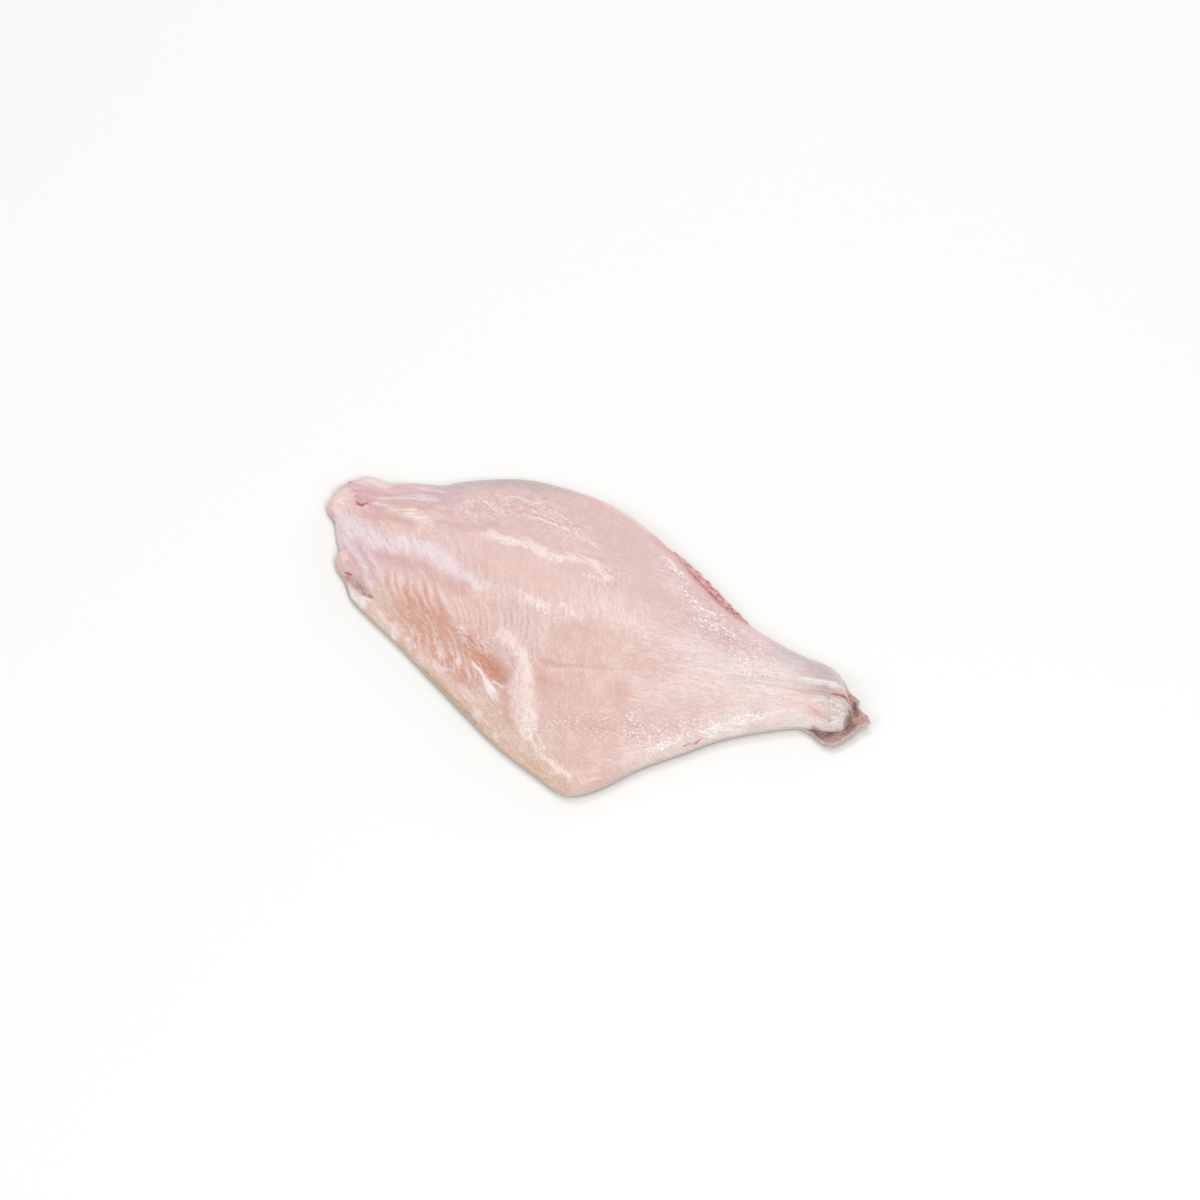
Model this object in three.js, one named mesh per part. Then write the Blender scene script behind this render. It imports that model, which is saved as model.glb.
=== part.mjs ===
// John dory fillet: one side of the fish, skin on, lying on its skin with the cut flesh up.
// Millimetres. +X runs from the head end to the tail, +Y from the belly to the back, +Z is up.
// The origin is under the middle of the fillet, on the surface that it lies on.
import * as THREE from 'three';

// ---- Driving dimensions ----------------------------------------------------

const SKIN_THICK = 1.1; // skin with the thin layer that stays on it
const SKIN_REACH = 0.5; // how far the skin shows past the flesh
const GAP = 0.3; // clear space between neighbouring pieces
const MARGIN_LIFT = 1.3; // how far the fillet's margin curls up
const MARGIN_WIDE = 12; // width of the margin that curls
const TAB_LIFT = 1.2; // extra curl at the tip of the tail's skin tab
const RIM_FOOT = 0.8; // upright height of the flesh's edge, below its rounding
const RIM_ROUND = { share: 0.95, least: 1.5, most: 5 }; // rounding of that edge, of its thickness

// The red fin muscle left along the back, as shares of the back edge and as sizes
const FIN = { from: 0.598, to: 0.797, wide: 2.7, high: 2.2, ragged: 0.16, raggedTurns: 17 };

// Outline of the flesh in plan. Each edge is a smooth curve through its landmarks.
const HEAD_EDGE = [
  [-88.0, -12.1], [-91.9, -7.0], [-98.4, 0.1], [-100.7, 3.5], [-100.7, 6.8], [-105.0, 13.9], [-108.2, 19.5],
  [-113.8, 24.5], [-114.1, 30.0], [-111.9, 35.4], [-109.7, 39.0],
];
const BACK_EDGE = [
  [-109.7, 39.0], [-106.4, 42.4], [-101.7, 43.1], [-95.3, 42.8], [-89.0, 45.6], [-75.5, 49.4], [-69.5, 53.6],
  [-50.0, 62.6], [-37.5, 65.0],
  [-11.0, 64.3], [3.4, 59.8], [14.0, 54.8], [24.0, 48.6], [35.3, 41.3], [50.0, 32.9], [67.6, 26.7],
  [82.0, 23.6], [93.4, 22.4], [99.4, 19.0], [102.4, 15.6],
];
const TAIL_EDGE = [
  [105.8, -2.2], [107.6, 0.6], [107.9, 5.0], [106.5, 8.8], [104.4, 12.0], [102.4, 15.6],
];
const BELLY_EDGE = [
  [-88.0, -12.1], [-82.6, -15.1], [-60.5, -26.5], [-39.7, -38.1], [-8.9, -54.5], [9.6, -61.3], [17.8, -64.1],
  [22.4, -63.8], [29.8, -58.5], [42.1, -43.6], [53.8, -32.6], [65.8, -21.2], [82.0, -10.6],
  [90.2, -6.4], [97.0, -5.2], [102.5, -3.4], [105.8, -2.2],
];
// Outline of the skin where it runs on past the tail muscle as a ragged tab
const TAB = {
  bellyFrom: 91.5, // X where it leaves the flesh's belly edge
  belly: [[95.3, -6.9], [99.2, -8.9], [102.6, -10.0], [105.4, -9.8]],
  end: [
    [105.4, -9.8], [108.0, -7.4], [110.0, -4.0], [111.8, -0.1], [114.1, 2.7], [116.1, 4.4], [116.0, 5.7],
    [114.1, 6.8], [112.0, 7.4], [109.6, 9.3], [108.8, 12.4],
  ],
  back: [[103.4, 15.7], [105.4, 14.3], [107.3, 13.4], [108.8, 12.4]],
  backFrom: 100.5, // X where it leaves the flesh's back edge
};

// Thickness of the flesh along its ridge: share of the length, millimetres
const RIDGE = [
  [0, 3.4], [0.06, 6.5], [0.16, 10], [0.32, 14.5], [0.48, 17.5], [0.62, 16.5], [0.78, 12.5], [0.92, 9.2], [1, 8.4],
];
const RIDGE_ACROSS = 0.56; // where the ridge lies, from belly (0) to back (1)
const BACK_SIDE = { rim: 3.4, rimShare: 0.6, power: 1.9, fullness: 1.05 };
const BELLY_SIDE = { rim: 4, rimShare: 0.75, power: 1.9, fullness: 1.2 };

// The thin belly wall: its thickness, and the width over which it thins towards its rim
const FLAP = { head: 3.6, vent: 6.2, rim: 2.2, taper: 16 };
// The line where the muscle slopes down to the belly wall, and the width of that slope
const CAVITY_SLOPE = { head: 8, middle: 14 };
const CAVITY_LINE = [
  [-104, 2.5], [-95.5, -3], [-87, -7.4], [-76, -8.8], [-64, -11], [-50, -15], [-38, -18], [-27, -20.5], [-19, -26],
  [-14, -35], [-9, -43.5], [-1, -50], [9, -54.5], [19, -59.5], [30, -67],
];

// Grooves (below 0) and ridges (above 0) on the flesh: height and half width, with their lines
const RELIEF = [
  { name: 'midline seam', rise: -0.35, wide: 1.6, line: [[-12, -19], [-5, -22.5], [4, -20.5], [14, -17], [30, -12.8], [50, -5]] },
  { name: 'tail split', rise: -1.8, wide: 1.7, line: [[60, -2], [76, 3.6], [90, 6.4], [101, 8.2], [106, 7.6], [112, 6.2]] },
  { name: 'nape groove', rise: -0.9, wide: 2.4, line: [[-103, 28], [-98, 25.6], [-87.5, 25.4], [-79, 26.4], [-64, 29.5], [-46, 31]] },
  { name: 'back groove', rise: -0.4, wide: 2.4, line: [[-101, 31.5], [-90, 36.5], [-74, 38.5], [-54, 40], [-30, 39]] },
  { name: 'membrane edge', rise: -0.35, wide: 3, line: [[-94, 8], [-80, 6], [-62, 5], [-46, 2.5], [-26, 0]] },
  { name: 'band edge', rise: -0.5, wide: 2, line: [[-8, -21], [-2.5, -31], [1.5, -40], [6, -50]] },
  { name: 'nape ridge', rise: 0.5, wide: 2, line: [[-99.6, 29.6], [-90, 31.6], [-79, 34.4], [-66, 35.6]] },
  { name: 'spine band', rise: 0.9, wide: 3.2, line: [[-28, -14.5], [-17, -19.5], [-11, -25.5], [-7.5, -33], [-4, -41], [2, -50]] },
  { name: 'tail ridge', rise: 0.9, wide: 1.2, line: [[82, 8.4], [92, 9.8], [101, 11.4]] },
  { name: 'fascia streak', rise: 0.5, wide: 1.5, line: [[-31.5, -25.5], [-25, -31.5], [-16, -38.5]] },
];
const RELIEF_FADE = 0.18; // share of a line over which it fades in and out

// Grid sizes: lines along the length and across, and the lines packed near a rim
const FLESH_GRID = { along: 78, across: 31, rim: [0, 0.3, 1.1, 2.6, 5] };
const SKIN_GRID = { along: 54, across: 16, rim: [0, 3, 6, 9, 12] };
const FIN_GRID = { along: 34, across: 6 };
const EDGE_SAMPLES = 90; // points on an edge when it is offset or measured
const BODY_LENGTH = 205; // length that the rim lines are measured along

// ---- Small helpers ---------------------------------------------------------

const mix = (a, b, t) => a + (b - a) * t;
const clamp = THREE.MathUtils.clamp;

/** Smooth step from 0 at a to 1 at b, whichever of the two is larger. */
function smooth(a, b, x) {
  const t = clamp((x - a) / (b - a), 0, 1);
  return t * t * (3 - 2 * t);
}

/** A smooth plan curve through landmarks, read by its share of the length. */
function edge(landmarks) {
  const points = landmarks.map(([x, y]) => new THREE.Vector3(x, y, 0));
  const curve = new THREE.CatmullRomCurve3(points, false, 'centripetal');
  curve.arcLengthDivisions = 400;
  const at = (t) => curve.getPointAt(clamp(t, 0, 1));
  return { at, samples: (n) => Array.from({ length: n }, (_, i) => at(i / (n - 1))) };
}

/** Nearest distance from (x, y) to a polyline, the share along it, and the side (+ is left). */
function nearest(x, y, line) {
  let best = { d: Infinity, share: 0, side: 1 };
  const last = line.length - 1;
  for (let k = 0; k < last; k += 1) {
    const a = line[k];
    const dx = line[k + 1].x - a.x;
    const dy = line[k + 1].y - a.y;
    const t = clamp(((x - a.x) * dx + (y - a.y) * dy) / (dx * dx + dy * dy + 1e-12), 0, 1);
    const qx = x - a.x - t * dx;
    const qy = y - a.y - t * dy;
    const d = Math.hypot(qx, qy);
    if (d < best.d) best = { d, share: (k + t) / last, side: Math.sign(dx * qy - dy * qx) || 1 };
  }
  return best;
}

/** Cubic curve through [position, value] stations, with slopes from their neighbours. */
function stations(list, x) {
  const last = list.length - 1;
  const slope = (k) => {
    const a = list[Math.max(k - 1, 0)];
    const b = list[Math.min(k + 1, last)];
    return (b[1] - a[1]) / (b[0] - a[0]);
  };
  let k = 0;
  while (k < last - 1 && x > list[k + 1][0]) k += 1;
  const span = list[k + 1][0] - list[k][0];
  const t = clamp((x - list[k][0]) / span, 0, 1);
  const t2 = t * t;
  const t3 = t2 * t;
  return (2 * t3 - 3 * t2 + 1) * list[k][1] + (t3 - 2 * t2 + t) * span * slope(k)
    + (3 * t2 - 2 * t3) * list[k + 1][1] + (t3 - t2) * span * slope(k + 1);
}

/** n shares from 0 to 1: the rim offsets in millimetres at both ends, evenly spaced between. */
function spread(n, length, rim) {
  const widest = rim[rim.length - 1];
  const near = rim.map((r) => Math.min(r / length, 0.42 * (r / widest)));
  const from = near[near.length - 1];
  const inner = n - 2 * near.length;
  const even = Array.from({ length: inner }, (_, i) => mix(from, 1 - from, (i + 1) / (inner + 1)));
  return [...near, ...even, ...near.map((r) => 1 - r).reverse()];
}

/** Plan grid between four edges: both ruled surfaces together, less their shared corners. */
function planGrid({ head, back, tail, belly }, size, length) {
  const corner = { c00: belly.at(0), c01: back.at(0), c10: belly.at(1), c11: back.at(1) };
  return spread(size.along, length, size.rim).map((u) => {
    const low = belly.at(u);
    const high = back.at(u);
    return spread(size.across, low.distanceTo(high), size.rim).map((v) => {
      const left = head.at(v);
      const right = tail.at(v);
      const blend = (axis) => mix(low[axis], high[axis], v) + mix(left[axis], right[axis], u)
        - mix(mix(corner.c00[axis], corner.c01[axis], v), mix(corner.c10[axis], corner.c11[axis], v), u);
      return { x: blend('x'), y: blend('y'), u, v };
    });
  });
}

/** Closed mesh between an upper and a lower height over one plan grid, with an upright edge. */
function slab(grid, upper, lower) {
  const rows = grid.length;
  const cols = grid[0].length;
  const position = [];
  for (const height of [upper, lower]) {
    for (const row of grid) for (const p of row) position.push(p.x, p.y, height(p));
  }
  const index = [];
  const at = (layer, i, j) => layer * rows * cols + i * cols + j;
  const quad = (a, b, c, d) => index.push(a, b, c, a, c, d);
  for (let i = 0; i < rows - 1; i += 1) {
    for (let j = 0; j < cols - 1; j += 1) {
      quad(at(0, i, j), at(0, i + 1, j), at(0, i + 1, j + 1), at(0, i, j + 1));
      quad(at(1, i, j), at(1, i, j + 1), at(1, i + 1, j + 1), at(1, i + 1, j));
    }
  }
  const wall = (i0, j0, i1, j1) => quad(at(0, i0, j0), at(1, i0, j0), at(1, i1, j1), at(0, i1, j1));
  for (let i = 0; i < rows - 1; i += 1) {
    wall(i, 0, i + 1, 0);
    wall(i + 1, cols - 1, i, cols - 1);
  }
  for (let j = 0; j < cols - 1; j += 1) {
    wall(0, j + 1, 0, j);
    wall(rows - 1, j, rows - 1, j + 1);
  }
  const geometry = new THREE.BufferGeometry();
  geometry.setAttribute('position', new THREE.Float32BufferAttribute(position, 3));
  geometry.setIndex(index);
  geometry.computeVertexNormals();
  return geometry;
}

// ---- Outlines --------------------------------------------------------------

const flesh = {
  head: edge(HEAD_EDGE),
  back: edge(BACK_EDGE),
  tail: edge(TAIL_EDGE),
  belly: edge(BELLY_EDGE),
};

/** Width of the fin muscle at a share of the back edge: it swells from nothing and is ragged. */
function finWidth(share) {
  const t = clamp((share - FIN.from) / (FIN.to - FIN.from), 0, 1);
  const ragged = 1 + FIN.ragged * Math.sin(FIN.raggedTurns * Math.PI * t) * Math.cos(7.3 * t);
  return FIN.wide * Math.sin(Math.PI * t) ** 0.55 * ragged;
}

/** An edge of the flesh moved outwards, by a reach that may change along it. */
function offsetEdge(side, reach, turn) {
  const points = side.samples(EDGE_SAMPLES);
  return points.map((p, k) => {
    const a = points[Math.max(k - 1, 0)];
    const b = points[Math.min(k + 1, EDGE_SAMPLES - 1)];
    const out = new THREE.Vector3(a.y - b.y, b.x - a.x, 0).normalize().multiplyScalar(turn);
    return p.clone().addScaledVector(out, reach(k / (EDGE_SAMPLES - 1)));
  });
}

/** The skin's outline: the flesh's, a little wider, round the fin muscle and the tail's tab. */
function skinOutline() {
  const list = (points, limit) => points.map((p) => [p.x, p.y]).filter(([x]) => x < limit);
  const strip = (t) => (finWidth(t) > 0 ? finWidth(t) + GAP : 0);
  const belly = list(offsetEdge(flesh.belly, () => SKIN_REACH, -1), TAB.bellyFrom);
  const back = list(offsetEdge(flesh.back, (t) => SKIN_REACH + strip(t), 1), TAB.backFrom);
  const head = list(offsetEdge(flesh.head, () => SKIN_REACH, 1), Infinity);
  head[0] = belly[0];
  head[head.length - 1] = back[0];
  return {
    head: edge(head),
    back: edge([...back, ...TAB.back]),
    tail: edge(TAB.end),
    belly: edge([...belly, ...TAB.belly]),
  };
}

const skin = skinOutline();

const loopOf = ({ belly, tail, back, head }) => [
  ...belly.samples(EDGE_SAMPLES),
  ...tail.samples(EDGE_SAMPLES),
  ...back.samples(EDGE_SAMPLES).reverse(),
  ...head.samples(EDGE_SAMPLES).reverse(),
];
const FLESH_LOOP = loopOf(flesh);
const SKIN_LOOP = loopOf(skin);

// ---- Heights ---------------------------------------------------------------

/** Underside of the skin: flat, with its margin curling up, most at the tail's tab. */
function skinBase(p) {
  const margin = 1 - clamp(nearest(p.x, p.y, SKIN_LOOP).d / MARGIN_WIDE, 0, 1);
  return margin ** 2 * (MARGIN_LIFT + TAB_LIFT * smooth(104, 115, p.x));
}

const skinTop = (p) => skinBase(p) + SKIN_THICK;
const fleshBase = (p) => skinTop(p) + GAP;

const CAVITY = edge(CAVITY_LINE).samples(EDGE_SAMPLES);
const MARKS = RELIEF.map((mark) => ({ ...mark, points: edge(mark.line).samples(24) }));

/** Height of all grooves and ridges at a point: a bell across each line, faded at its ends. */
function relief(p) {
  return MARKS.reduce((sum, { rise, wide, points }) => {
    const { d, share } = nearest(p.x, p.y, points);
    const fade = smooth(0, RELIEF_FADE, share) * smooth(1, 1 - RELIEF_FADE, share);
    return sum + rise * fade * Math.exp(-((d / wide) ** 2));
  }, 0);
}

/** Thickness of one side of the fillet, from its ridge (t = 0) down to its rim (t = 1). */
function sideThickness(top, side, t) {
  const rim = Math.min(side.rim, side.rimShare * top);
  return rim + (top - rim) * Math.max(1 - t ** side.power, 0) ** side.fullness;
}

/** Thickness of the flesh before its edge is rounded. */
function fleshThickness(p) {
  const top = stations(RIDGE, p.u);
  const muscle = p.v < RIDGE_ACROSS
    ? sideThickness(top, BELLY_SIDE, (RIDGE_ACROSS - p.v) / RIDGE_ACROSS)
    : sideThickness(top, BACK_SIDE, (p.v - RIDGE_ACROSS) / (1 - RIDGE_ACROSS));
  const { d, share, side } = nearest(p.x, p.y, CAVITY);
  const slope = mix(CAVITY_SLOPE.head, CAVITY_SLOPE.middle, smooth(0.1, 0.3, share));
  const into = smooth(-0.5 * slope, 0.5 * slope, -side * d) * smooth(1, 0.9, share);
  const inner = smooth(0, FLAP.taper, nearest(p.x, p.y, FLESH_LOOP).d);
  const flap = mix(FLAP.rim, mix(FLAP.head, FLAP.vent, share), inner);
  return mix(muscle, Math.min(flap, muscle), into) + relief(p);
}

/** Top of the flesh: its thickness, rounded to a quarter circle towards its edge. */
function fleshTop(p) {
  const thick = fleshThickness(p);
  const round = clamp(thick * RIM_ROUND.share, RIM_ROUND.least, RIM_ROUND.most);
  const in0 = 1 - clamp(nearest(p.x, p.y, FLESH_LOOP).d / round, 0, 1);
  const rounded = thick * Math.sqrt(Math.max(1 - in0 * in0, 0));
  return fleshBase(p) + Math.max(rounded, RIM_FOOT);
}

// ---- The fin muscle, a thin ragged roll along the back ----------------------

/** Plan grid of the fin muscle, from the flesh's edge out to its own ragged edge. */
function finGrid() {
  const share = (t) => mix(FIN.from, FIN.to, t);
  const end = 0.02; // share at either end where the roll has run out
  const inner = [];
  const outer = [];
  const near = offsetEdge(flesh.back, () => GAP, 1);
  const far = offsetEdge(flesh.back, (t) => GAP + finWidth(t), 1);
  const read = (points, t) => {
    const f = t * (EDGE_SAMPLES - 1);
    const k = Math.min(Math.floor(f), EDGE_SAMPLES - 2);
    return points[k].clone().lerp(points[k + 1], f - k);
  };
  for (let i = 0; i < FIN_GRID.along; i += 1) {
    const t = share(mix(end, 1 - end, i / (FIN_GRID.along - 1)));
    inner.push(read(near, t));
    outer.push(read(far, t));
  }
  return inner.map((a, i) => Array.from({ length: FIN_GRID.across }, (_, j) => {
    const v = j / (FIN_GRID.across - 1);
    const p = a.clone().lerp(outer[i], v);
    return { x: p.x, y: p.y, u: i / (FIN_GRID.along - 1), v };
  }));
}

/** Top of the fin muscle: a low arch across it, with small lumps along it. */
function finTop(p) {
  const arch = Math.sin(Math.PI * mix(0.12, 0.88, p.v));
  const lumps = 1 + 0.18 * Math.sin(41 * p.u) * Math.cos(17 * p.u);
  const swell = Math.sin(Math.PI * mix(0.06, 0.94, p.u)) ** 0.5;
  return fleshBase(p) + FIN.high * arch * lumps * swell;
}

// ---- The fillet -------------------------------------------------------------

function food(name, geometry, color, roughness) {
  const mesh = new THREE.Mesh(geometry, new THREE.MeshStandardMaterial({ color, roughness, metalness: 0 }));
  mesh.name = name;
  return mesh;
}

const fillet = new THREE.Group();
fillet.name = 'john_dory_fillet';
fillet.add(
  food('flesh', slab(planGrid(flesh, FLESH_GRID, BODY_LENGTH), fleshTop, fleshBase), 0xe6c6be, 0.35),
  food('skin', slab(planGrid(skin, SKIN_GRID, BODY_LENGTH), skinTop, skinBase), 0x8d7a63, 0.4),
  food('fin_muscle', slab(finGrid(), finTop, fleshBase), 0xd08f8c, 0.4),
);

export default fillet;
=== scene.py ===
"""John dory fillet: one side of the fish, skin on, lying on its skin with the cut flesh up.

Three pieces are made as grids of points: the flesh, the skin under it and the red muscle along the
back. Lengths are in metres: landmarks are written in millimetres and turned by MM.
+X runs from the head end to the tail, +Y from the belly to the back, +Z is up.
"""
import math

import bpy
import numpy as np
from bpy.props import FloatProperty, FloatVectorProperty, IntProperty, PointerProperty
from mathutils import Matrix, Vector


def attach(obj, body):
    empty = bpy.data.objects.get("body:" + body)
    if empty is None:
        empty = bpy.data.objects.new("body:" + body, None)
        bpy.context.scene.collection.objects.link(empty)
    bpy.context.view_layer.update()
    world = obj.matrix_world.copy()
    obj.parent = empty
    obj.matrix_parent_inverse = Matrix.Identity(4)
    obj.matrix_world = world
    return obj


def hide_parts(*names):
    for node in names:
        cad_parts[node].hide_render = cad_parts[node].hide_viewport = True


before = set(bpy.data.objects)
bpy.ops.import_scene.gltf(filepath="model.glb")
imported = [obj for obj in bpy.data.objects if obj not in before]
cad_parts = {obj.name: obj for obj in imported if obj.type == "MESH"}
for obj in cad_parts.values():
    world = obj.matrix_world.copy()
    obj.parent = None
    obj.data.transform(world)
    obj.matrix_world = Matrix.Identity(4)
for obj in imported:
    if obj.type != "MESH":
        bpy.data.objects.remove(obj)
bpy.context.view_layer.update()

bl_info = {
    "name": "John dory fillet",
    "version": (1, 0, 0),
    "blender": (4, 5, 0),
    "location": "View3D > Sidebar > Fillet",
    "description": "Makes a raw john dory fillet, skin side down, with its light and camera",
    "category": "Add Mesh",
}

MM = 0.001

# ---- Landmarks, in millimetres ----------------------------------------------

HEAD_EDGE = [
    (-88.0, -12.1), (-90.7, -8.7), (-93.6, -5.2), (-96.8, -2.6), (-99.4, -0.6), (-101.1, 2.9), (-100.9, 6.4),
    (-103.2, 10.0), (-106.5, 15.6), (-109.0, 19.8), (-112.2, 21.9), (-114.3, 24.1), (-114.6, 26.2),
    (-113.8, 28.4), (-114.4, 30.4), (-114.0, 33.0), (-113.2, 35.2), (-111.8, 36.5), (-110.7, 37.2),
    (-109.7, 39.0),
]
BACK_EDGE = [
    (-109.7, 39.0), (-107.7, 41.5), (-105.2, 43.0), (-101.8, 43.5), (-98.7, 42.9), (-95.3, 42.8),
    (-89.0, 45.6), (-82.0, 47.6), (-75.5, 49.4),
    (-69.5, 53.6), (-50.0, 62.6), (-37.5, 65.0), (-11.0, 64.3), (3.4, 59.8), (14.0, 54.8), (24.0, 48.6),
    (35.3, 41.3), (50.0, 32.9), (67.6, 26.7), (82.0, 23.6), (93.4, 22.4), (99.4, 19.0), (102.4, 15.6),
]
TAIL_EDGE = [(105.8, -2.2), (107.6, 0.6), (107.9, 5.0), (106.5, 8.8), (104.4, 12.0), (102.4, 15.6)]
BELLY_EDGE = [
    (-88.0, -12.1), (-82.6, -15.1), (-60.5, -26.5), (-39.7, -38.1), (-8.9, -54.5), (9.6, -61.3),
    (17.8, -64.1), (22.4, -63.8), (29.8, -58.5), (42.1, -43.6), (53.8, -32.6), (65.8, -21.2),
    (82.0, -10.6), (90.2, -6.4), (97.0, -5.2), (102.5, -3.4), (105.8, -2.2),
]

# The skin's tab past the tail: its own edges, where they leave the flesh's, and how far its end frays
TAB_BELLY_FROM = 91.5
TAB_BACK_FROM = 100.5
TAB_FRAY = 0.45
TAB_BELLY = [(95.3, -6.9), (99.2, -8.9), (102.6, -10.0), (105.4, -9.8)]
TAB_END = [
    (105.4, -9.8), (108.0, -7.4), (110.0, -4.0), (111.8, -0.1), (114.1, 2.7), (116.1, 4.4), (116.0, 5.7),
    (114.1, 6.8), (112.0, 7.4), (109.6, 9.3), (108.8, 12.4),
]
TAB_BACK = [(103.4, 15.7), (105.4, 14.3), (107.3, 13.4), (108.8, 12.4)]

# Thickness of the flesh along its ridge: share of the length, millimetres
RIDGE = [
    (0, 3.4), (0.06, 6.5), (0.16, 10), (0.32, 14.5), (0.48, 17.5), (0.62, 16.5), (0.78, 12.5),
    (0.92, 9.2), (1, 8.4),
]

# Share of the width at which the ridge lies, and how the flesh falls from it to the rim on each side
RIDGE_ACROSS = 0.56
BACK_SIDE = {"rim": 3.4, "share": 0.6, "power": 1.9, "fullness": 1.05}
BELLY_SIDE = {"rim": 4.0, "share": 0.75, "power": 1.9, "fullness": 1.2}

# The belly: thickness of its thin wall, width of the slope down to it at both ends, and the slope's line
FLAP = {"head": 3.6, "vent": 6.2, "rim": 2.2, "taper": 16}
CAVITY_SLOPE = (8.0, 14.0)
CAVITY_LINE = [
    (-104, 2.5), (-95.5, -3), (-87, -7.4), (-76, -8.8), (-64, -11), (-50, -15), (-38, -18),
    (-27, -20.5), (-19, -26), (-14, -35), (-9, -43.5), (-1, -50), (9, -54.5), (19, -59.5), (30, -67),
]

# Grooves (below 0) and ridges (above 0) of the flesh: height, half width and line
RELIEF = {
    "midline seam": (-0.35, 1.6, [(-12, -19), (-5, -22.5), (4, -20.5), (14, -17), (30, -12.8), (50, -5)]),
    "tail split": (-1.8, 1.7, [(60, -2), (76, 3.6), (90, 6.4), (101, 8.2), (106, 7.6), (112, 6.2)]),
    "nape groove": (-0.9, 2.4, [(-103, 28), (-98, 25.6), (-87.5, 25.4), (-79, 26.4), (-64, 29.5), (-46, 31)]),
    "back groove": (-0.4, 2.4, [(-101, 31.5), (-90, 36.5), (-74, 38.5), (-54, 40), (-30, 39)]),
    "membrane edge": (-0.35, 3, [(-94, 8), (-80, 6), (-62, 5), (-46, 2.5), (-26, 0)]),
    "band edge": (-0.5, 2, [(-8, -21), (-2.5, -31), (1.5, -40), (6, -50)]),
    "nape ridge": (0.5, 2, [(-99.6, 29.6), (-90, 31.6), (-79, 34.4), (-66, 35.6)]),
    "spine band": (0.9, 3.2, [(-28, -14.5), (-17, -19.5), (-11, -25.5), (-7.5, -33), (-4, -41), (2, -50)]),
    "tail ridge": (0.9, 1.2, [(82, 8.4), (92, 9.8), (101, 11.4)]),
    "fascia streak": (0.5, 1.5, [(-31.5, -25.5), (-25, -31.5), (-16, -38.5)]),
}
RELIEF_FADE = 0.18

# Smaller folds that only the fine surface holds: height, half width and line
FOLDS = {
    "head crease": (-0.7, 0.7, [(-99, -1.5), (-95, -3.6), (-91, -4.8), (-86, -8), (-80, -10.6)]),
    "head lip": (0.5, 1.0, [(-97, -0.5), (-92, -2.6), (-86, -5.6), (-81, -8.6)]),
    "flap tip": (0.5, 2.0, [(-90, -10.6), (-84, -12.6), (-78, -14)]),
    "nape lobe": (0.9, 2.6, [(-107, 40), (-102, 40.5), (-96, 40)]),
    "nape crease": (-0.6, 1.0, [(-106, 31), (-103.5, 29), (-100, 27)]),
    "nape ribbon": (0.35, 0.7, [(-98, 27.6), (-90, 29.4), (-80, 31.6), (-70, 33)]),
    "nape ribbon groove": (-0.3, 0.6, [(-97, 28.8), (-88, 31.8), (-78, 34.6), (-68, 36)]),
    "cheek lobe": (0.6, 2.4, [(-113, 31), (-111, 26), (-108.5, 22)]),
    "cheek crease": (-0.7, 0.9, [(-114, 34), (-109, 33), (-106.5, 30)]),
    "lower lobe": (0.4, 1.6, [(-101, 7), (-98.5, 3), (-96, 0.5)]),
    "knob swell": (0.7, 2.6, [(94, 2), (99, 2.6), (103, 3.2), (107, 3.4)]),
    "knob dip": (-0.5, 1.0, [(99, 5), (102, 4.8), (104, 3.4)]),
    "knob lip": (0.5, 0.9, [(95, -3.6), (101, -1.8), (105, 0.4), (106, 4)]),
    "tail crease": (-0.5, 0.6, [(93, -0.4), (98, -1.4), (102.5, -0.6)]),
    "tail cord": (0.7, 0.9, [(86, 8.6), (92, 9.8), (97, 10.5), (102, 11.4)]),
    "pocket": (-1.1, 2.0, [(-31, -22.5), (-26, -25.5), (-20, -28), (-16, -31.5)]),
    "pocket lip": (0.5, 1.2, [(-27, -21), (-20, -23.5), (-15, -27.5)]),
}
FOLD_FADE = 0.25
RIB_FADE = 0.35

# Fans of fine ribs: the lines of their upper and lower ends, how many, bow, height and half width
RIB_FANS = {
    # The head wall's fan also carries painted shade in its rib grooves
    "head wall": ([(-82, 1.8), (-58, 1)], [(-71, -11.4), (-45, -13.8)], 6, -1.1, -0.4, 0.8),
    "head light": ([(-80, 1.8), (-56, 0.9)], [(-69, -11.6), (-43, -14)], 6, -1.1, 0.2, 0.8),
    "middle wall": ([(-58, -3), (-10, -2)], [(-45, -16), (-8, -18.5)], 17, 1.2, 0.14, 0.55),
    "middle shade": ([(-62, -4), (-12, -3)], [(-48, -16), (-10, -19)], 13, 1.0, -0.1, 0.6),
    "belly wall": ([(-66, -15), (-30, -22)], [(-55, -28), (-22, -38)], 10, 0.9, 0.2, 0.45),
}

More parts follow.
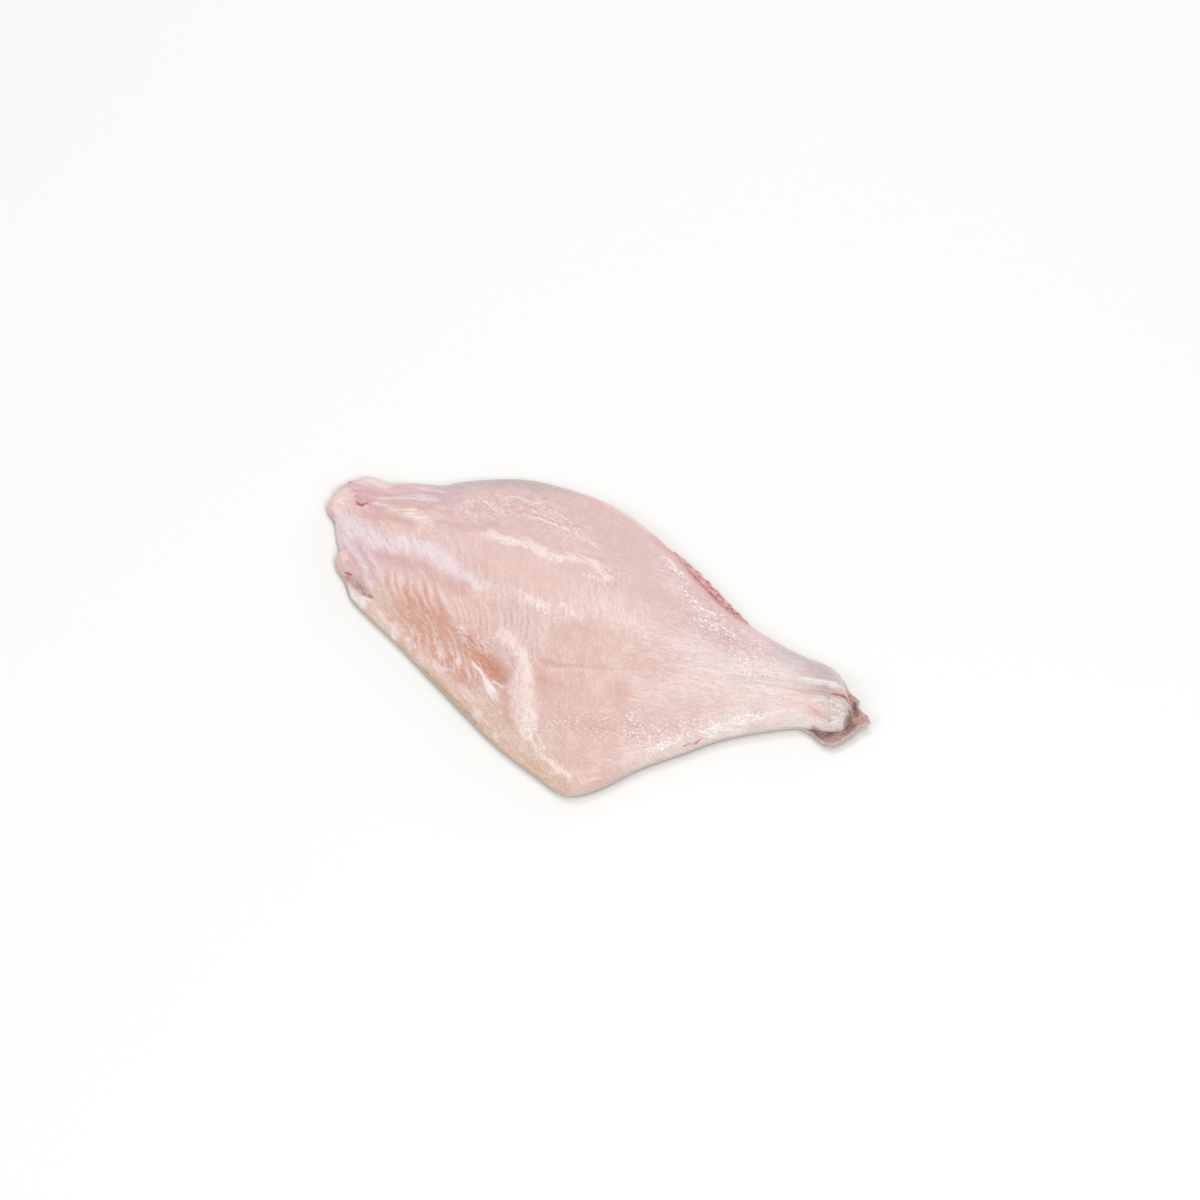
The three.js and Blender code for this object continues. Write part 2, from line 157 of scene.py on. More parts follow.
# Where each colour lies on the flesh: half width and line of every stroke, and its strength below 1
STROKES = {
    "cool": [
        (9, [(-108, 34), (-90, 38), (-70, 42)]),
        (13, [(-68, 44), (-45, 50), (-15, 50), (20, 38), (45, 28), (70, 20)]),
        (9, [(-96, 10), (-84, 2), (-70, 4), (-52, 4)]),
        (7, [(-62, 28), (-46, 36), (-28, 36)]),
        (9, [(-60, 20), (-40, 18), (-14, 16)], 0.6),
        (10, [(24, 26), (44, 18), (60, 14)], 0.7),
    ],
    "flush": [
        (9, [(-42, 13), (-30, 14), (-16, 11)], 0.7),
        (10, [(-1, -30), (10, -37), (20, -42)], 0.85),
        (8, [(0, -7), (12, -5)], 0.6),
        (8, [(-60, -4), (-44, -8), (-30, -10)]),
    ],
    "beige": [
        (9, [(-84, -8), (-64, -20), (-40, -32), (-16, -46), (4, -56)]),
        (6, [(-20, -47), (0, -56), (18, -61)], 0.8),
    ],
    "pale": [
        (4.5, [(38, -45), (50, -34), (60, -26), (72, -17)], 0.8),
        # Painted light on the steep back rim
        (2, [(-14, 63.4), (-4, 61.4), (6, 57.4), (14, 53)], 0.6),
        (8, [(36, -20), (56, -10), (80, -2)], 0.5),
        (8, [(66, 4), (80, 6), (94, 4)], 0.5),
        (5, [(62, -20), (76, -11), (90, -5)], 0.7),
        (5, [(-84, 28), (-76, 27), (-70, 24)], 0.25),
    ],
    "mauve": [
        (4.2, [(-106, 36), (-99, 35.4), (-91, 37.4), (-78, 40.4), (-68, 42)]),
        (2.2, [(-107, 32.4), (-103, 31), (-98, 28.8), (-92.6, 27.6)], 0.8),
        (2.4, [(-94, 2), (-88, -2), (-82, -5)]),
        (3.6, [(-97, 7), (-91, 4.6), (-85, 0)], 0.9),
        (3.0, [(-92, 34), (-80, 36), (-70, 38)], 0.6),
    ],
    "rose": [
        (2.8, [(-97, 24.4), (-90, 22.8), (-84, 24.6), (-77, 23.4)]),
        (3, [(-105, 33), (-99, 31.4), (-93, 32.6)], 0.75),
        (3.2, [(-70, -8), (-62, -9), (-54, -12)], 0.45),
        (1.2, [(-96, 30.2), (-87, 31), (-79, 32.2), (-70, 32.4), (-60, 33)]),
        (2.6, [(-86, 8), (-76, 6), (-66, 5), (-56, 2), (-46, 0)]),
        (2.0, [(-62, 26), (-54, 27), (-46, 33)], 0.5),
        (4.5, [(27, -23.6), (28, -25)], 0.75),
        (3.0, [(-4, -28.4), (2, -27.6)], 0.6),
        (3.6, [(30, -36), (22, -39)], 0.4),
        (2.4, [(54, 15), (57, 14.6)], 0.6),
        (1.3, [(92.6, -0.6), (97, -1.2), (101.4, -1.8)]),
        (3.4, [(-56, 38), (-46, 43), (-36, 46)], 0.6),
        (1.4, [(-26, -17.6), (-33, -18.2), (-41, -17)]),
        (1.0, [(74, -9.4), (78, -8.4)]),
        (2.6, [(2, -4), (7, -4.6)], 0.5),
        (2.6, [(-102, 26.4), (-98, 25.4)], 0.5),
        (1.6, [(-92, -6), (-87, -8)], 0.7),
    ],
    "grey": [
        (6.0, [(-74, 50), (-62, 55), (-50, 60), (-40, 62)], 0.8),
        (4.5, [(-40, 62.6), (-28, 63.8)], 0.5),
        (5.2, [(80, 18.6), (88, 17.2), (97, 14)], 0.85),
        (6, [(74, 18), (84, 14.6), (94, 12.6)], 0.4),
        (2.6, [(86, 5), (98, 7)], 0.35),
        (2.0, [(-88.5, -11.2), (-84.5, -12.2), (-80, -13.4)], 0.3),
    ],
    "orange": [
        (3.6, [(-68, -8), (-60, -8.8), (-50, -14.2), (-39, -19.2), (-28, -24.4), (-19, -29.4)], 0.62),
        (7.0, [(-64, -13), (-54, -19), (-43, -25.4), (-32, -31.6)], 0.52),
        (5.0, [(-52, -27), (-42, -31), (-32, -34)], 0.3),
        (2.8, [(-36, -19.6), (-31, -22), (-25, -25.4), (-19.4, -29.2)], 0.6),
        (1.6, [(-31, -22.5), (-25, -26), (-19.4, -29.6)], 0.75),
        (2.2, [(-16, -35), (-12.6, -40), (-9, -45)], 0.35),
        (0.9, [(-56.4, -22.6), (-54.6, -23)]),
        (0.8, [(-40.6, -26), (-39.4, -27)]),
        (0.9, [(-70, -17), (-68.6, -18)], 0.8),
    ],
    "fin_pink": [(2.3, [(12, 53.9), (24, 47.4), (35.3, 40.3), (50, 32), (58, 29.2)], 0.9)],
    "tan": [
        (2.6, [(-62, -26), (-52, -31.4), (-38, -38.4), (-22, -46.6), (-6, -54.6), (8, -60), (19, -63)]),
        (1.2, [(89, 21.4), (94.6, 20), (99.6, 16.8), (103, 13.4)], 0.8),
    ],
    "peach": [
        (2.4, [(-112.5, 29), (-109.6, 24.6), (-107.6, 21)]),
        (2.4, [(-106.6, 39), (-101, 40), (-95, 39.6)]),
        (2.4, [(-109.6, 32), (-107, 31)]),
        (1.4, [(-98.6, 5), (-97, 1.6), (-94.6, -0.6)]),
        (6.0, [(-74, -4), (-62, -8), (-52, -10)], 0.45),
    ],
    "pearl": [
        (9.0, [(8, 8), (26, 6), (44, 4)], 0.4),
        (8.0, [(50, 3), (64, 6), (80, 8)], 0.6),
        (6.0, [(46, -9), (60, -5), (78, -2)], 0.3),
        (3.0, [(70, -14), (82, -8), (92, -5)], 0.5),
        # Painted highlight: the pale line along the tail's ridge
        (1.5, [(84, 8), (90, 9.4), (96, 10.6), (101.6, 11.6)]),
        (2.0, [(97, 20.4), (101, 15.6)], 0.5),
        (1.3, [(88, -5.4), (95, -4.6), (101, -3), (105.6, -0.6)]),
        (1.6, [(93, 3), (98, 3.6)], 0.5),
    ],
    "milk": [
        (2.6, [(-89, -10.4), (-86, -11.6), (-82.6, -12.8)], 0.95),
        (1.6, [(102, -1.6), (105.4, -1), (106.6, 1)], 0.9),
        # Painted highlights: the white line along the tail's ridge and the white dots on the knob
        (0.9, [(87.3, 8.9), (93.8, 10.2), (101, 11.2)], 0.98),
        (0.5, [(99.4, 4.4), (100.4, 3.9)]),
        (0.5, [(103.4, 4), (104.8, 3.3)]),
        (0.4, [(101, 1.4), (101.8, 1.8)]),
        (0.4, [(105.4, 1.6), (106, 2.4)]),
        (0.6, [(-31.6, -25.8), (-28.4, -28.4), (-25, -31)], 0.9),
        (1.0, [(-26, -30.4), (-22, -33.6), (-18, -36.4)], 0.95),
        (0.5, [(-24.4, -33.4), (-21, -36.4), (-18.8, -38.6)], 0.7),
        (0.6, [(-23, -30.6), (-19, -31.6), (-15.4, -33.6)], 0.75),
        (0.8, [(-31, -39), (-28, -40.6)], 0.5),
        (3.0, [(-76, -17), (-66, -22.6)], 0.35),
    ],
    "knob": [(3.2, [(98, 4.6), (102, 4.4), (105.6, 4.6)]), (2.2, [(102.6, 0.4), (106, 1.6)], 0.8)],
    # Painted shade: on the knob's cut end, under the knob's lip and in the tail's split
    "plum": [
        (1.1, [(107.4, 6), (107.9, 3), (107.3, 0), (106.4, -1.6)], 0.75),
        (0.4, [(95, -5.7), (99, -4.9), (103, -3.7), (106.6, -1.8)], 0.7),
        (0.5, [(99.6, 8.4), (104.4, 8.9), (106.8, 7)], 0.7),
    ],
    "lilac": [
        (5.0, [(-105, 18), (-96, 15), (-86, 12), (-74, 12.6), (-62, 11), (-52, 7)], 0.5),
        (3.2, [(-107, 19), (-103, 14.4), (-100, 9)], 0.8),
        (0.4, [(-58, -12), (-53, -16), (-48, -20.6)], 0.55),
        (0.4, [(-52, -18), (-49, -21), (-46, -24)], 0.55),
        (0.4, [(-47.8, -14.8), (-42.6, -19.5), (-37, -25.8)], 0.55),
        (0.4, [(-40, -17), (-37, -19), (-34.6, -21.6)], 0.55),
        (0.4, [(-32, -16.6), (-29.4, -19.4), (-27, -23)], 0.55),
        (0.5, [(-22.8, -18), (-19, -22.4), (-15.6, -27.6)], 0.6),
        (1.2, [(-48, -28.6), (-42.5, -31.6), (-38, -30)], 0.6),
        (1.4, [(-34, -35), (-27, -38.4), (-20, -41)], 0.5),
        (2.6, [(-104, 18.6), (-98, 16.4), (-92, 13.6), (-88, 11)]),
        (2.2, [(-90, 12), (-84, 10.8), (-77, 12.6), (-71, 13.6)], 0.8),
        (3.2, [(-77, 14), (-68, 13.6), (-61, 10.8), (-55, 8)]),
        (1.7, [(-58, 9), (-50, 6.2), (-42, 4.4), (-36, 3.6)]),
        (3.0, [(-40, 4), (-26, 2.6), (-12, 0)], 0.4),
        (1.4, [(-99.5, 9.5), (-93, 4.6), (-88, 0), (-83, -5), (-79, -8)], 0.7),
        (0.9, [(-92, 9), (-86, 4), (-80, -1), (-76, -6)], 0.6),
        (1.2, [(-99.5, 31.5), (-92, 33), (-86, 35.2), (-78, 37.6), (-71, 37.2)], 0.9),
        (0.9, [(-98, 29.2), (-90, 28.6), (-84, 28)], 0.8),
        (0.8, [(-92, 40.4), (-85, 42.6), (-78, 43.6), (-71, 44)], 0.7),
        (1.2, [(-86, 38), (-78, 39.6), (-72, 39)], 0.5),
        (0.7, [(-29.5, -27.4), (-27, -29.4)]),
        (1.5, [(-25.6, -30.8), (-22, -34)], 0.7),
        (1.9, [(-22, -33.6), (-18.6, -37)], 0.6),
        (1.5, [(-66.4, -20.4), (-65.4, -22.6)], 0.95),
        (1.1, [(-60, -22), (-58, -26), (-56.8, -28)], 0.9),
        (1.2, [(-46, -25), (-44, -26.4)], 0.95),
        (1.2, [(-38.4, -25.4), (-36.8, -27)], 0.95),
        (2.4, [(-52, -29), (-42, -33), (-32, -37)], 0.4),
        (1.4, [(-76, -15), (-70, -18)], 0.4),
        # Painted highlight: bluish tint at the end of the tail's ridge
        (0.9, [(97, 10.2), (101.4, 11.4)], 0.9),
        (6.0, [(60, 22), (74, 17), (84, 14)], 0.4),
    ],
    "cream": [
        (2.5, [(-47.4, 26.6), (-43, 26.4), (-38, 26)], 0.9),
        (2.2, [(-38, 25.4), (-32.4, 26.6), (-28, 26), (-24, 24.4)], 0.95),
        (2.3, [(-23, 25), (-19, 23.4), (-16, 23)], 0.9),
        (2.0, [(-13, 26), (-8, 26.2), (-3, 26.6), (1, 24), (5, 21.4)], 0.8),
        (1.0, [(-7, 20.2), (-1, 19.6), (6, 18)], 0.6),
        (0.9, [(-38, 41.4), (-29, 41.2), (-20, 39.8), (-11, 37.8), (-3, 34.8)], 0.7),
        (0.8, [(-51, 47.6), (-44, 50), (-38, 49.4), (-33, 52)], 0.6),
        (2.8, [(-80.5, 28.4), (-75.5, 27.2), (-72, 25)], 0.75),
        (1.6, [(-28, -13.6), (-22.4, -14.6), (-18, -16.6)], 0.8),
        (2.3, [(-22, -16), (-16, -19.6), (-11.6, -24), (-9, -29)], 0.85),
        (3.6, [(-10.6, -29), (-8, -34.6), (-5, -40), (-3, -44.4)]),
        (2.8, [(-4, -42), (-1.6, -46.4), (-0.4, -48.6)], 0.95),
        (1.0, [(-14, -30), (-12.4, -34), (-9.4, -40)], 0.6),
        (1.2, [(1, -49.6), (6, -52.6), (12, -55.6), (18, -58.4), (23, -59.8)], 0.75),
        (0.9, [(3, -47.6), (6, -50), (8.6, -51.4)], 0.6),
        (1.6, [(-10, 3.2), (-6, 2.2), (-2, 0.6), (4, 0)], 0.5),
        (1.8, [(-21, 3), (-13, 0.6)], 0.6),
        (0.8, [(-12, 1), (-11.4, -8), (-10.4, -16)], 0.35),
        (1.0, [(-2, -20.4), (6, -19.6), (14, -16.8)], 0.4),
    ],
    "rim_green": [
        (0.8, [(-52, -31.6), (-40, -38.2), (-28, -44.6), (-15, -51.4)], 0.75),
        (0.5, [(-70, -21.8), (-58, -28), (-50, -32.4)], 0.4),
    ],
    "seam": [
        (0.7, [(-10, -19.4), (-3, -21), (4, -20.2), (14, -17.6), (24, -15.4)], 0.8),
        (1.8, [(-8, -20.4), (4, -20), (18, -16.6)], 0.4),
        (1.0, [(-6, -27), (0, -28.6), (6, -28)], 0.5),
    ],
    "brown": [
        # Painted shade where the head's edge overlaps the belly flap's tip
        (2.2, [(-93, -5.2), (-89, -6.8), (-85, -8.6)], 0.45),
        (1.4, [(-90, -8), (-85, -9.6), (-80.4, -10.4)], 0.5),
        (0.8, [(-84, -10.6), (-80.2, -10.4)], 0.8),
        # Painted shade in the tail's split
        (0.4, [(89.3, 7), (95, 7.6), (99.6, 8.2)], 0.35),
        (0.5, [(98, 8.1), (101, 8.4), (104.4, 8.6), (106.8, 6.6)], 0.85),
        # The knob's own dark flecks
        (0.3, [(100.6, 2.6), (101.2, 2.2)], 0.6),
        (0.35, [(103, 2.4), (103.6, 1.8)], 0.6),
        (0.3, [(104.6, 5.4), (105.2, 5)], 0.6),
        (0.3, [(98.6, 5.6), (99.2, 5.4)], 0.6),
    ],
    "blood": [
        (0.8, [(-101.2, 27), (-100.3, 26.8)]),
        (0.45, [(-103.4, 28), (-100.4, 26.8)], 0.9),
        (0.4, [(-100.6, 26.8), (-98.8, 28.6)], 0.85),
        (0.3, [(-101.6, 27), (-102.6, 25.8)], 0.7),
        (0.4, [(-95, -3.4), (-93, -3.9), (-90.8, -4.5)]),
        (0.3, [(-36, 53), (-34.8, 54), (-33.8, 55.8)], 0.7),
        (0.3, [(-34.6, 54), (-33, 53.4)], 0.6),
        (0.3, [(-57, 39.6), (-56.4, 37), (-54.6, 35.6), (-52.4, 34.6), (-51.8, 33.8)], 0.5),
        (0.25, [(-60, 42), (-57, 41), (-55, 38.6)], 0.4),
        (0.3, [(3.6, -3), (5, -4), (6.4, -3.4)], 0.4),
        (0.28, [(53.6, -31.8), (57.6, -28.2), (61.4, -24.8)], 0.6),
        (0.4, [(101, -1.8), (102, -1.9)], 0.5),
        (0.3, [(76, -9.4), (78, -8.6)], 0.35),
    ],
    # Painted highlights: white glints of the wet surface along the vent's edge, the shoulder and the tail
    "glint": [
        (0.6, [(59.4, -26.2), (63, -22.8), (66, -20), (72, -15.8)]),
        (0.5, [(58, -25.6), (62, -21.6), (66.6, -18.4)], 0.9),
        (0.5, [(68, -16.6), (73, -13.2), (78, -10.6)], 0.6),
        (0.45, [(20, 45.4), (26, 41.6), (32, 37.8)], 0.8),
        (0.4, [(23, 41.6), (28.6, 38)], 0.7),
        (0.5, [(32, 31.4), (38, 27.6), (48, 24.4)], 0.6),
        (0.5, [(50, 20.8), (56, 18.4), (62, 16.4)], 0.6),
        (0.5, [(90, -1.4), (95, -0.6)], 0.3),
    ],
    "hatch": [(7, [(-58, 38), (-46, 43.5), (-32, 46), (-18, 42)]), (4, [(-40, -16), (-30, -18)], 0.6)],
    "beaded": [
        (6, [(36, -32), (44, -36)]),
        (7, [(40, 20), (56, 12), (70, 6)]),
        (4, [(52, -26), (62, -20), (76, -11)]),
        (6, [(6, -42), (24, -38)], 0.7),
        (3, [(20, 44), (30, 37)]),
        (8, [(30, 2), (48, -6), (70, -4), (84, 0)], 0.3),
        (4.5, [(40, -36), (47, -34), (54, -27)]),
        (3.5, [(31, 31), (38, 27), (47, 24.4)]),
        (3.5, [(50, 19), (57, 18), (62, 15)]),
        (4, [(-34, 2), (-22, 0), (-8, -2)], 0.5),
        (3, [(98, 4), (105, 2)], 0.8),
        (5, [(44, 24), (60, 19), (74, 15)], 0.7),
    ],
}

# A stroke's strength where none is given, the share of its length over which a thin one fades at its
# ends, and the strokes whose edges fray less than the others', with their share of the fraying
STROKE_STRENGTH = 0.98
STROKE_FADE = 0.15
CRISP = ("blood", "brown", "seam", "rim_green", "plum")
CRISP_FRAY = 0.35

# The colours in the order in which they are laid on: the most that each may cover, how much the
# streaks break it up, and how much of its field's range its edge leaves out
TINTS = {
    "cool": (0.7, 0.3, 0.0), "flush": (0.6, 0.3, 0.0), "pale": (0.8, 0.3, 0.0), "beige": (0.8, 0.4, 0.0),
    "mauve": (0.75, 0.6, 0.0), "rose": (0.55, 1.0, 0.0), "grey": (0.85, 0.9, 0.0),
    "rim_green": (0.8, 0.3, 0.0), "peach": (0.6, 0.3, 0.0), "fin_pink": (0.9, 0.4, 0.0),
    "orange": (0.95, 0.4, 0.0), "tan": (0.5, 0.3, 0.0), "pearl": (0.75, 0.5, 0.0), "knob": (0.85, 0.5, 0.1),
    "lilac": (0.75, 0.8, 0.0), "cream": (0.85, 0.9, 0.0), "milk": (0.85, 0.8, 0.0), "seam": (0.7, 0.8, 0.0),
    "plum": (0.85, 0.5, 0.1), "brown": (0.8, 0.4, 0.05), "blood": (0.95, 0.4, 0.1), "glint": (0.9, 1.5, 0.1),
}

# The skin's marks, with the painted shadow round the knob among them: half width and line of every stroke
SKIN_STROKES = {
    "silver": [
        (12, [(-94, -2), (-80, -8), (-62, -18), (-44, -28)]),
        (9, [(-30, -32), (-4, -46), (14, -52)], 0.5),
        (8, [(64, -6), (84, 0)], 0.4),
    ],
    "halo": [
        (1.7, [(-44, 9), (-42.4, 18), (-35, 21.4), (-27, 18.6), (-25, 10), (-31, 5.6), (-39, 5), (-44, 9)]),
    ],
    "spot": [(5.4, [(-37.5, 13), (-32, 14)])],
    "lateral": [
        (1.3, [(-104, 36), (-80, 41), (-52, 43), (-25, 37), (5, 24), (35, 12), (70, 7), (104, 6)]),
        (3.2, [(-90, 39), (-52, 42.4), (-25, 36.4), (5, 23.4), (35, 11.6), (64, 7.4)], 0.35),
    ],
    "scales": [
        (13, [(10, 26), (40, 16), (74, 8), (98, 4)]),
        (9, [(-20, -36), (10, -46), (34, -34)], 0.6),
        (7, [(-80, 44), (-50, 52), (-20, 52)], 0.5),
    ],
    # Painted shadow of the knob along the tab's root; the third stroke is a dark brown patch of the tab
    "root": [
        (1.5, [(92, -6.4), (98, -6.2), (104, -4.6), (107, -2.4)]),
        (1.2, [(108.6, 4), (108.4, 8), (105.8, 12.6)]),
        (1.6, [(100, -7.6), (103.6, -7)], 0.5),
    ],
    # Painted shadow that the knob casts on the tab
    "plum": [(1.8, [(107, -3.6), (109, -1), (109.2, 3.4)], 0.9)],
    "flap": [(14, [(-90, -10), (-60, -26), (-20, -50), (10, -62)])],
    "green": [(3, [(-52, -33), (-45, -37), (-30, -45), (-16, -52)])],
}

# Directions in which the muscle fibres run, with the seed of each one's noise
FIBRES = {
    "rising": (17, 61), "slanting": (-42, 62), "falling": (-15, 63), "lengthwise": (13, 64),
    "steep": (-64, 65),
}
FIBRE_SHIFT_SEED = 20

# Seeds of the other random draws
SEEDS = {"swell": 21, "colours": (31, 32), "ribs": 41, "fin": 51, "skin": (71, 72), "tab": 81}

# Points along a side of the noise's lattice before it repeats
LATTICE = 256

# Distances of the first grid lines from the rim, and the length that those along the fillet are shares of
FLESH_RIM = [0, 0.12, 0.4, 0.9, 1.6, 2.5, 3.6, 5]
SKIN_RIM = [0, 0.3, 1, 2, 3.5, 5.5, 8, 12]
BODY_LENGTH = 205
EDGE_SAMPLES = 240
SKIN_LINES = (260, 130)
FIN_LINES = (260, 24)

# Rounding of the flesh's edge: share of the thickness, least and most
ROUNDING = (0.95, 1.5, 5)

# The red muscle: shares of the back edge where it starts and ends, width, height, how ragged its edge
# is and in how many waves, and the upright height of the flesh beside it
FIN = {"from": 0.598, "to": 0.797, "wide": 2.7, "high": 2.2, "ragged": 0.16, "turns": 17, "foot": 1.7}

# Soft boxes: name, place, width and height in metres, power in watts
LIGHTS = [
    ("key", (-0.5, 0.9, 1.3), (0.7, 0.5), 6.2),
    ("front", (0.65, -0.55, 0.9), (0.35, 0.35), 4.5),
    ("left", (-0.9, -0.9, 0.9), (0.8, 0.6), 4),
    ("back", (0.4, 1.3, 0.4), (0.7, 0.25), 2.5),
    ("spark", (0.3, 0.35, 1.5), (0.2, 0.2), 1.3),
    ("edge_spark", (-0.3, -0.65, 1.3), (0.12, 0.12), 0.8),
]


def srgb(code):
    """Linear colour of a six-digit web colour: the power curve of the standard, undone."""
    share = [int(code[k:k + 2], 16) / 255 for k in (0, 2, 4)]
    return tuple(c / 12.92 if c <= 0.04045 else ((c + 0.055) / 1.055) ** 2.4 for c in share)


# ---- Sizes and colours that a user may change -------------------------------


def length(name, description, default):
    """A length in metres, never negative."""
    return FloatProperty(name=name, description=description, default=default, min=0, unit="LENGTH")


def colour(name, description, code):
    """A colour, given by its web code."""
    return FloatVectorProperty(
        name=name, description=description, default=srgb(code), subtype="COLOR", size=3, min=0, max=1
    )


class FilletSizes(bpy.types.PropertyGroup):
    """Sizes of the fillet that its outline and ridge don't give."""

    skin_thick: length("Skin thickness", "Skin with the thin layer that stays on it", 1.1 * MM)
    skin_reach: length("Skin reach", "How far the skin shows past the flesh", 0.5 * MM)
    seat: length("Seat", "Clear space between the flesh and the skin under it", 0.06 * MM)
    rim_bulge: length("Rim bulge", "How far the flesh's foot swells over the skin's edge", 0.4 * MM)
    gap: length("Gap", "Clear space between neighbouring pieces", 0.3 * MM)
    margin_lift: length("Margin lift", "How far the fillet's margin curls up", 1.3 * MM)
    margin_wide: length("Margin width", "Width of the margin that curls up", 12 * MM)
    tab_lift: length("Tab lift", "Extra curl at the tip of the tail's skin tab", 1.2 * MM)
    rim_foot: length("Rim foot", "Upright height of the flesh's edge below its rounding", 0.8 * MM)
    grain_high: length("Grain height", "Height of the finest muscle grain", 0.1 * MM)
    swell_high: length("Swell height", "Height of the slow unevenness of the flesh", 0.3 * MM)
    along: IntProperty(name="Lines along", description="Grid lines along the flesh", default=376, min=20)
    across: IntProperty(name="Lines across", description="Grid lines across the flesh", default=225, min=20)


class FilletColours(bpy.types.PropertyGroup):
    """Colours of the flesh, of the skin and of the red muscle."""

    flesh: colour("Flesh", "Most of the cut flesh", "e7cbc4")
    flesh_deep: colour("Deep flesh", "Flesh between the fibres", "dcb8b0")
    cool: colour("Cool pink", "Flesh of the back and the head half", "ddbcbc")
    flush: colour("Flush", "Warm pink of the thick middle and the vent", "dfb9ae")
    lilac: colour("Lilac film", "Thin membrane over the head half", "efe2e7")
    mauve: colour("Mauve", "Cool pink of the nape", "d0adb4")
    rose: colour("Rose", "Deeper pink of bruised or thin flesh", "d3a29b")
    # Painted shade in the rib grooves of the head and middle walls; also dark patches of the belly wall
    rib: colour("Rib marks", "Brown pink between the rib marks", "cf9f8c")
    cream: colour("Cream", "Connective tissue and fat", "f8e9e3")
    pale: colour("Pale flesh", "Thin flesh of the tail and of the belly's edge", "f0e0da")
    milk: colour("Milk white", "White membrane at the wall's tip and the tail", "f3f1ef")
    # Painted shade: the purple dark round the tail's cut end, on the flesh and on the tab; also the knob's
    # own dark flecks
    plum: colour("Plum", "Purple brown of the skin at the tail's cut end", "7b5c66")
    seam: colour("Seam", "Tan line where the spine's bones were", "d2a48c")
    # Painted highlight: the white of the glints on the wet flesh, the tab and the red muscle; also the white
    # of the strands in the hatched part
    glint: colour("Glint", "Wet white streaks along the edges", "fdf8f6")
    orange: colour("Orange", "Stained wall of the belly cavity", "cd8b73")
    beige: colour("Beige", "The thin belly wall", "d8baa7")
    grey: colour("Grey", "Thin flesh with the skin showing through", "b7b0b2")
    pearl: colour("Pearl", "Silvery white tendon near the tail", "eee6e6")
    knob: colour("Knob", "Cut end at the tail", "cfccc2")
    peach: colour("Peach", "Loose flaps at the head end", "f9e2d8")
    tan: colour("Tan", "Edge of the belly wall", "d4b599")
    # Painted shade in the head's crease and the tail's split; also the knob's own dark flecks
    brown: colour("Brown", "Dark creases", "8d5a4c")
    blood: colour("Blood", "Spots and threads of blood", "bd2733")
    skin_olive: colour("Skin olive", "Golden brown of the skin", "8a7344")
    skin_taupe: colour("Skin taupe", "Grey brown of the skin", "7e6c5e")
    skin_dark: colour("Skin dark", "Lateral line and the round spot", "3f352b")
    skin_silver: colour("Skin silver", "Silvery belly of the skin", "c9bfa2")
    skin_light: colour("Skin light", "Pale clouds between the brown of the skin", "9d8c7c")
    tab_inside: colour("Tab inside", "Inner side of the skin at the tail", "b9968b")
    # Painted shadow at the tab's root, and the tab's own dark mottling
    tab_shade_and_mottle: colour("Tab shadow", "Dark root of the tail's tab", "6c4a48")
    rim_green: colour("Rim green", "Dark line under the belly wall", "77766a")
    fin_pink: colour("Fin muscle", "Light red of the muscle along the back", "daa5a2")
    fin_red: colour("Fin red", "Dark red of the muscle along the back", "a34a4c")


class StageSettings(bpy.types.PropertyGroup):
    """Camera, light and floor."""

    azimuth: FloatProperty(
        name="Azimuth", description="Turn of the camera", default=math.radians(21), unit="ROTATION"
    )
    elevation: FloatProperty(
        name="Elevation", description="Height angle of the camera", default=math.radians(55), unit="ROTATION"
    )
    lens: FloatProperty(name="Lens", description="Focal length in millimetres", default=85, min=1)
    distance: length("Distance", "From the camera to the point that it looks at", 1.09083)
    target: FloatVectorProperty(
        name="Target", description="Point that the camera looks at", default=(0.000834, 0.022523, 0),
        unit="LENGTH",
    )
    floor_size: length("Floor size", "Side of the floor", 6)
    floor_colour: colour("Floor", "Pale floor", "f7f6f4")
    sky: FloatProperty(name="Sky", description="Strength of the pale surroundings", default=0.49, min=0)


# ---- Curves and fields ------------------------------------------------------


def smooth_step(low, high, x):
    """0 at low and 1 at high, along 3t² - 2t³."""
    t = np.clip((x - low) / (high - low), 0, 1)
    return t * t * (3 - 2 * t)


def mix(a, b, t):
    """The point a share t of the way from a to b."""
    return a + (b - a) * t


def landmark_curve(points, per=12):
    """Smooth curve through landmarks, with its knots the square root of a chord apart.

    Each span blends the straight lines through its four landmarks, and blends those blends twice more.
    """
    p = np.asarray(points, float)
    p = np.vstack([2 * p[0] - p[1], p, 2 * p[-1] - p[-2]])
    knot = np.concatenate([[0], np.cumsum(np.linalg.norm(np.diff(p, axis=0), axis=1) ** 0.5)])
    spans = len(p) - 3
    k = np.repeat(np.arange(1, spans + 1), per)
    t = knot[k] + (knot[k + 1] - knot[k]) * np.tile(np.arange(per) / per, spans)
    k = np.append(k, spans)
    t = np.append(t, knot[spans + 1])

    def blend(a, b, ka, kb):
        share = ((t - knot[ka]) / (knot[kb] - knot[ka]))[:, None]
        return a * (1 - share) + b * share

    a1 = blend(p[k - 1], p[k], k - 1, k)
    a2 = blend(p[k], p[k + 1], k, k + 1)
    a3 = blend(p[k + 1], p[k + 2], k + 1, k + 2)
    b1 = blend(a1, a2, k - 1, k + 1)
    b2 = blend(a2, a3, k, k + 2)
    return blend(b1, b2, k, k + 1)


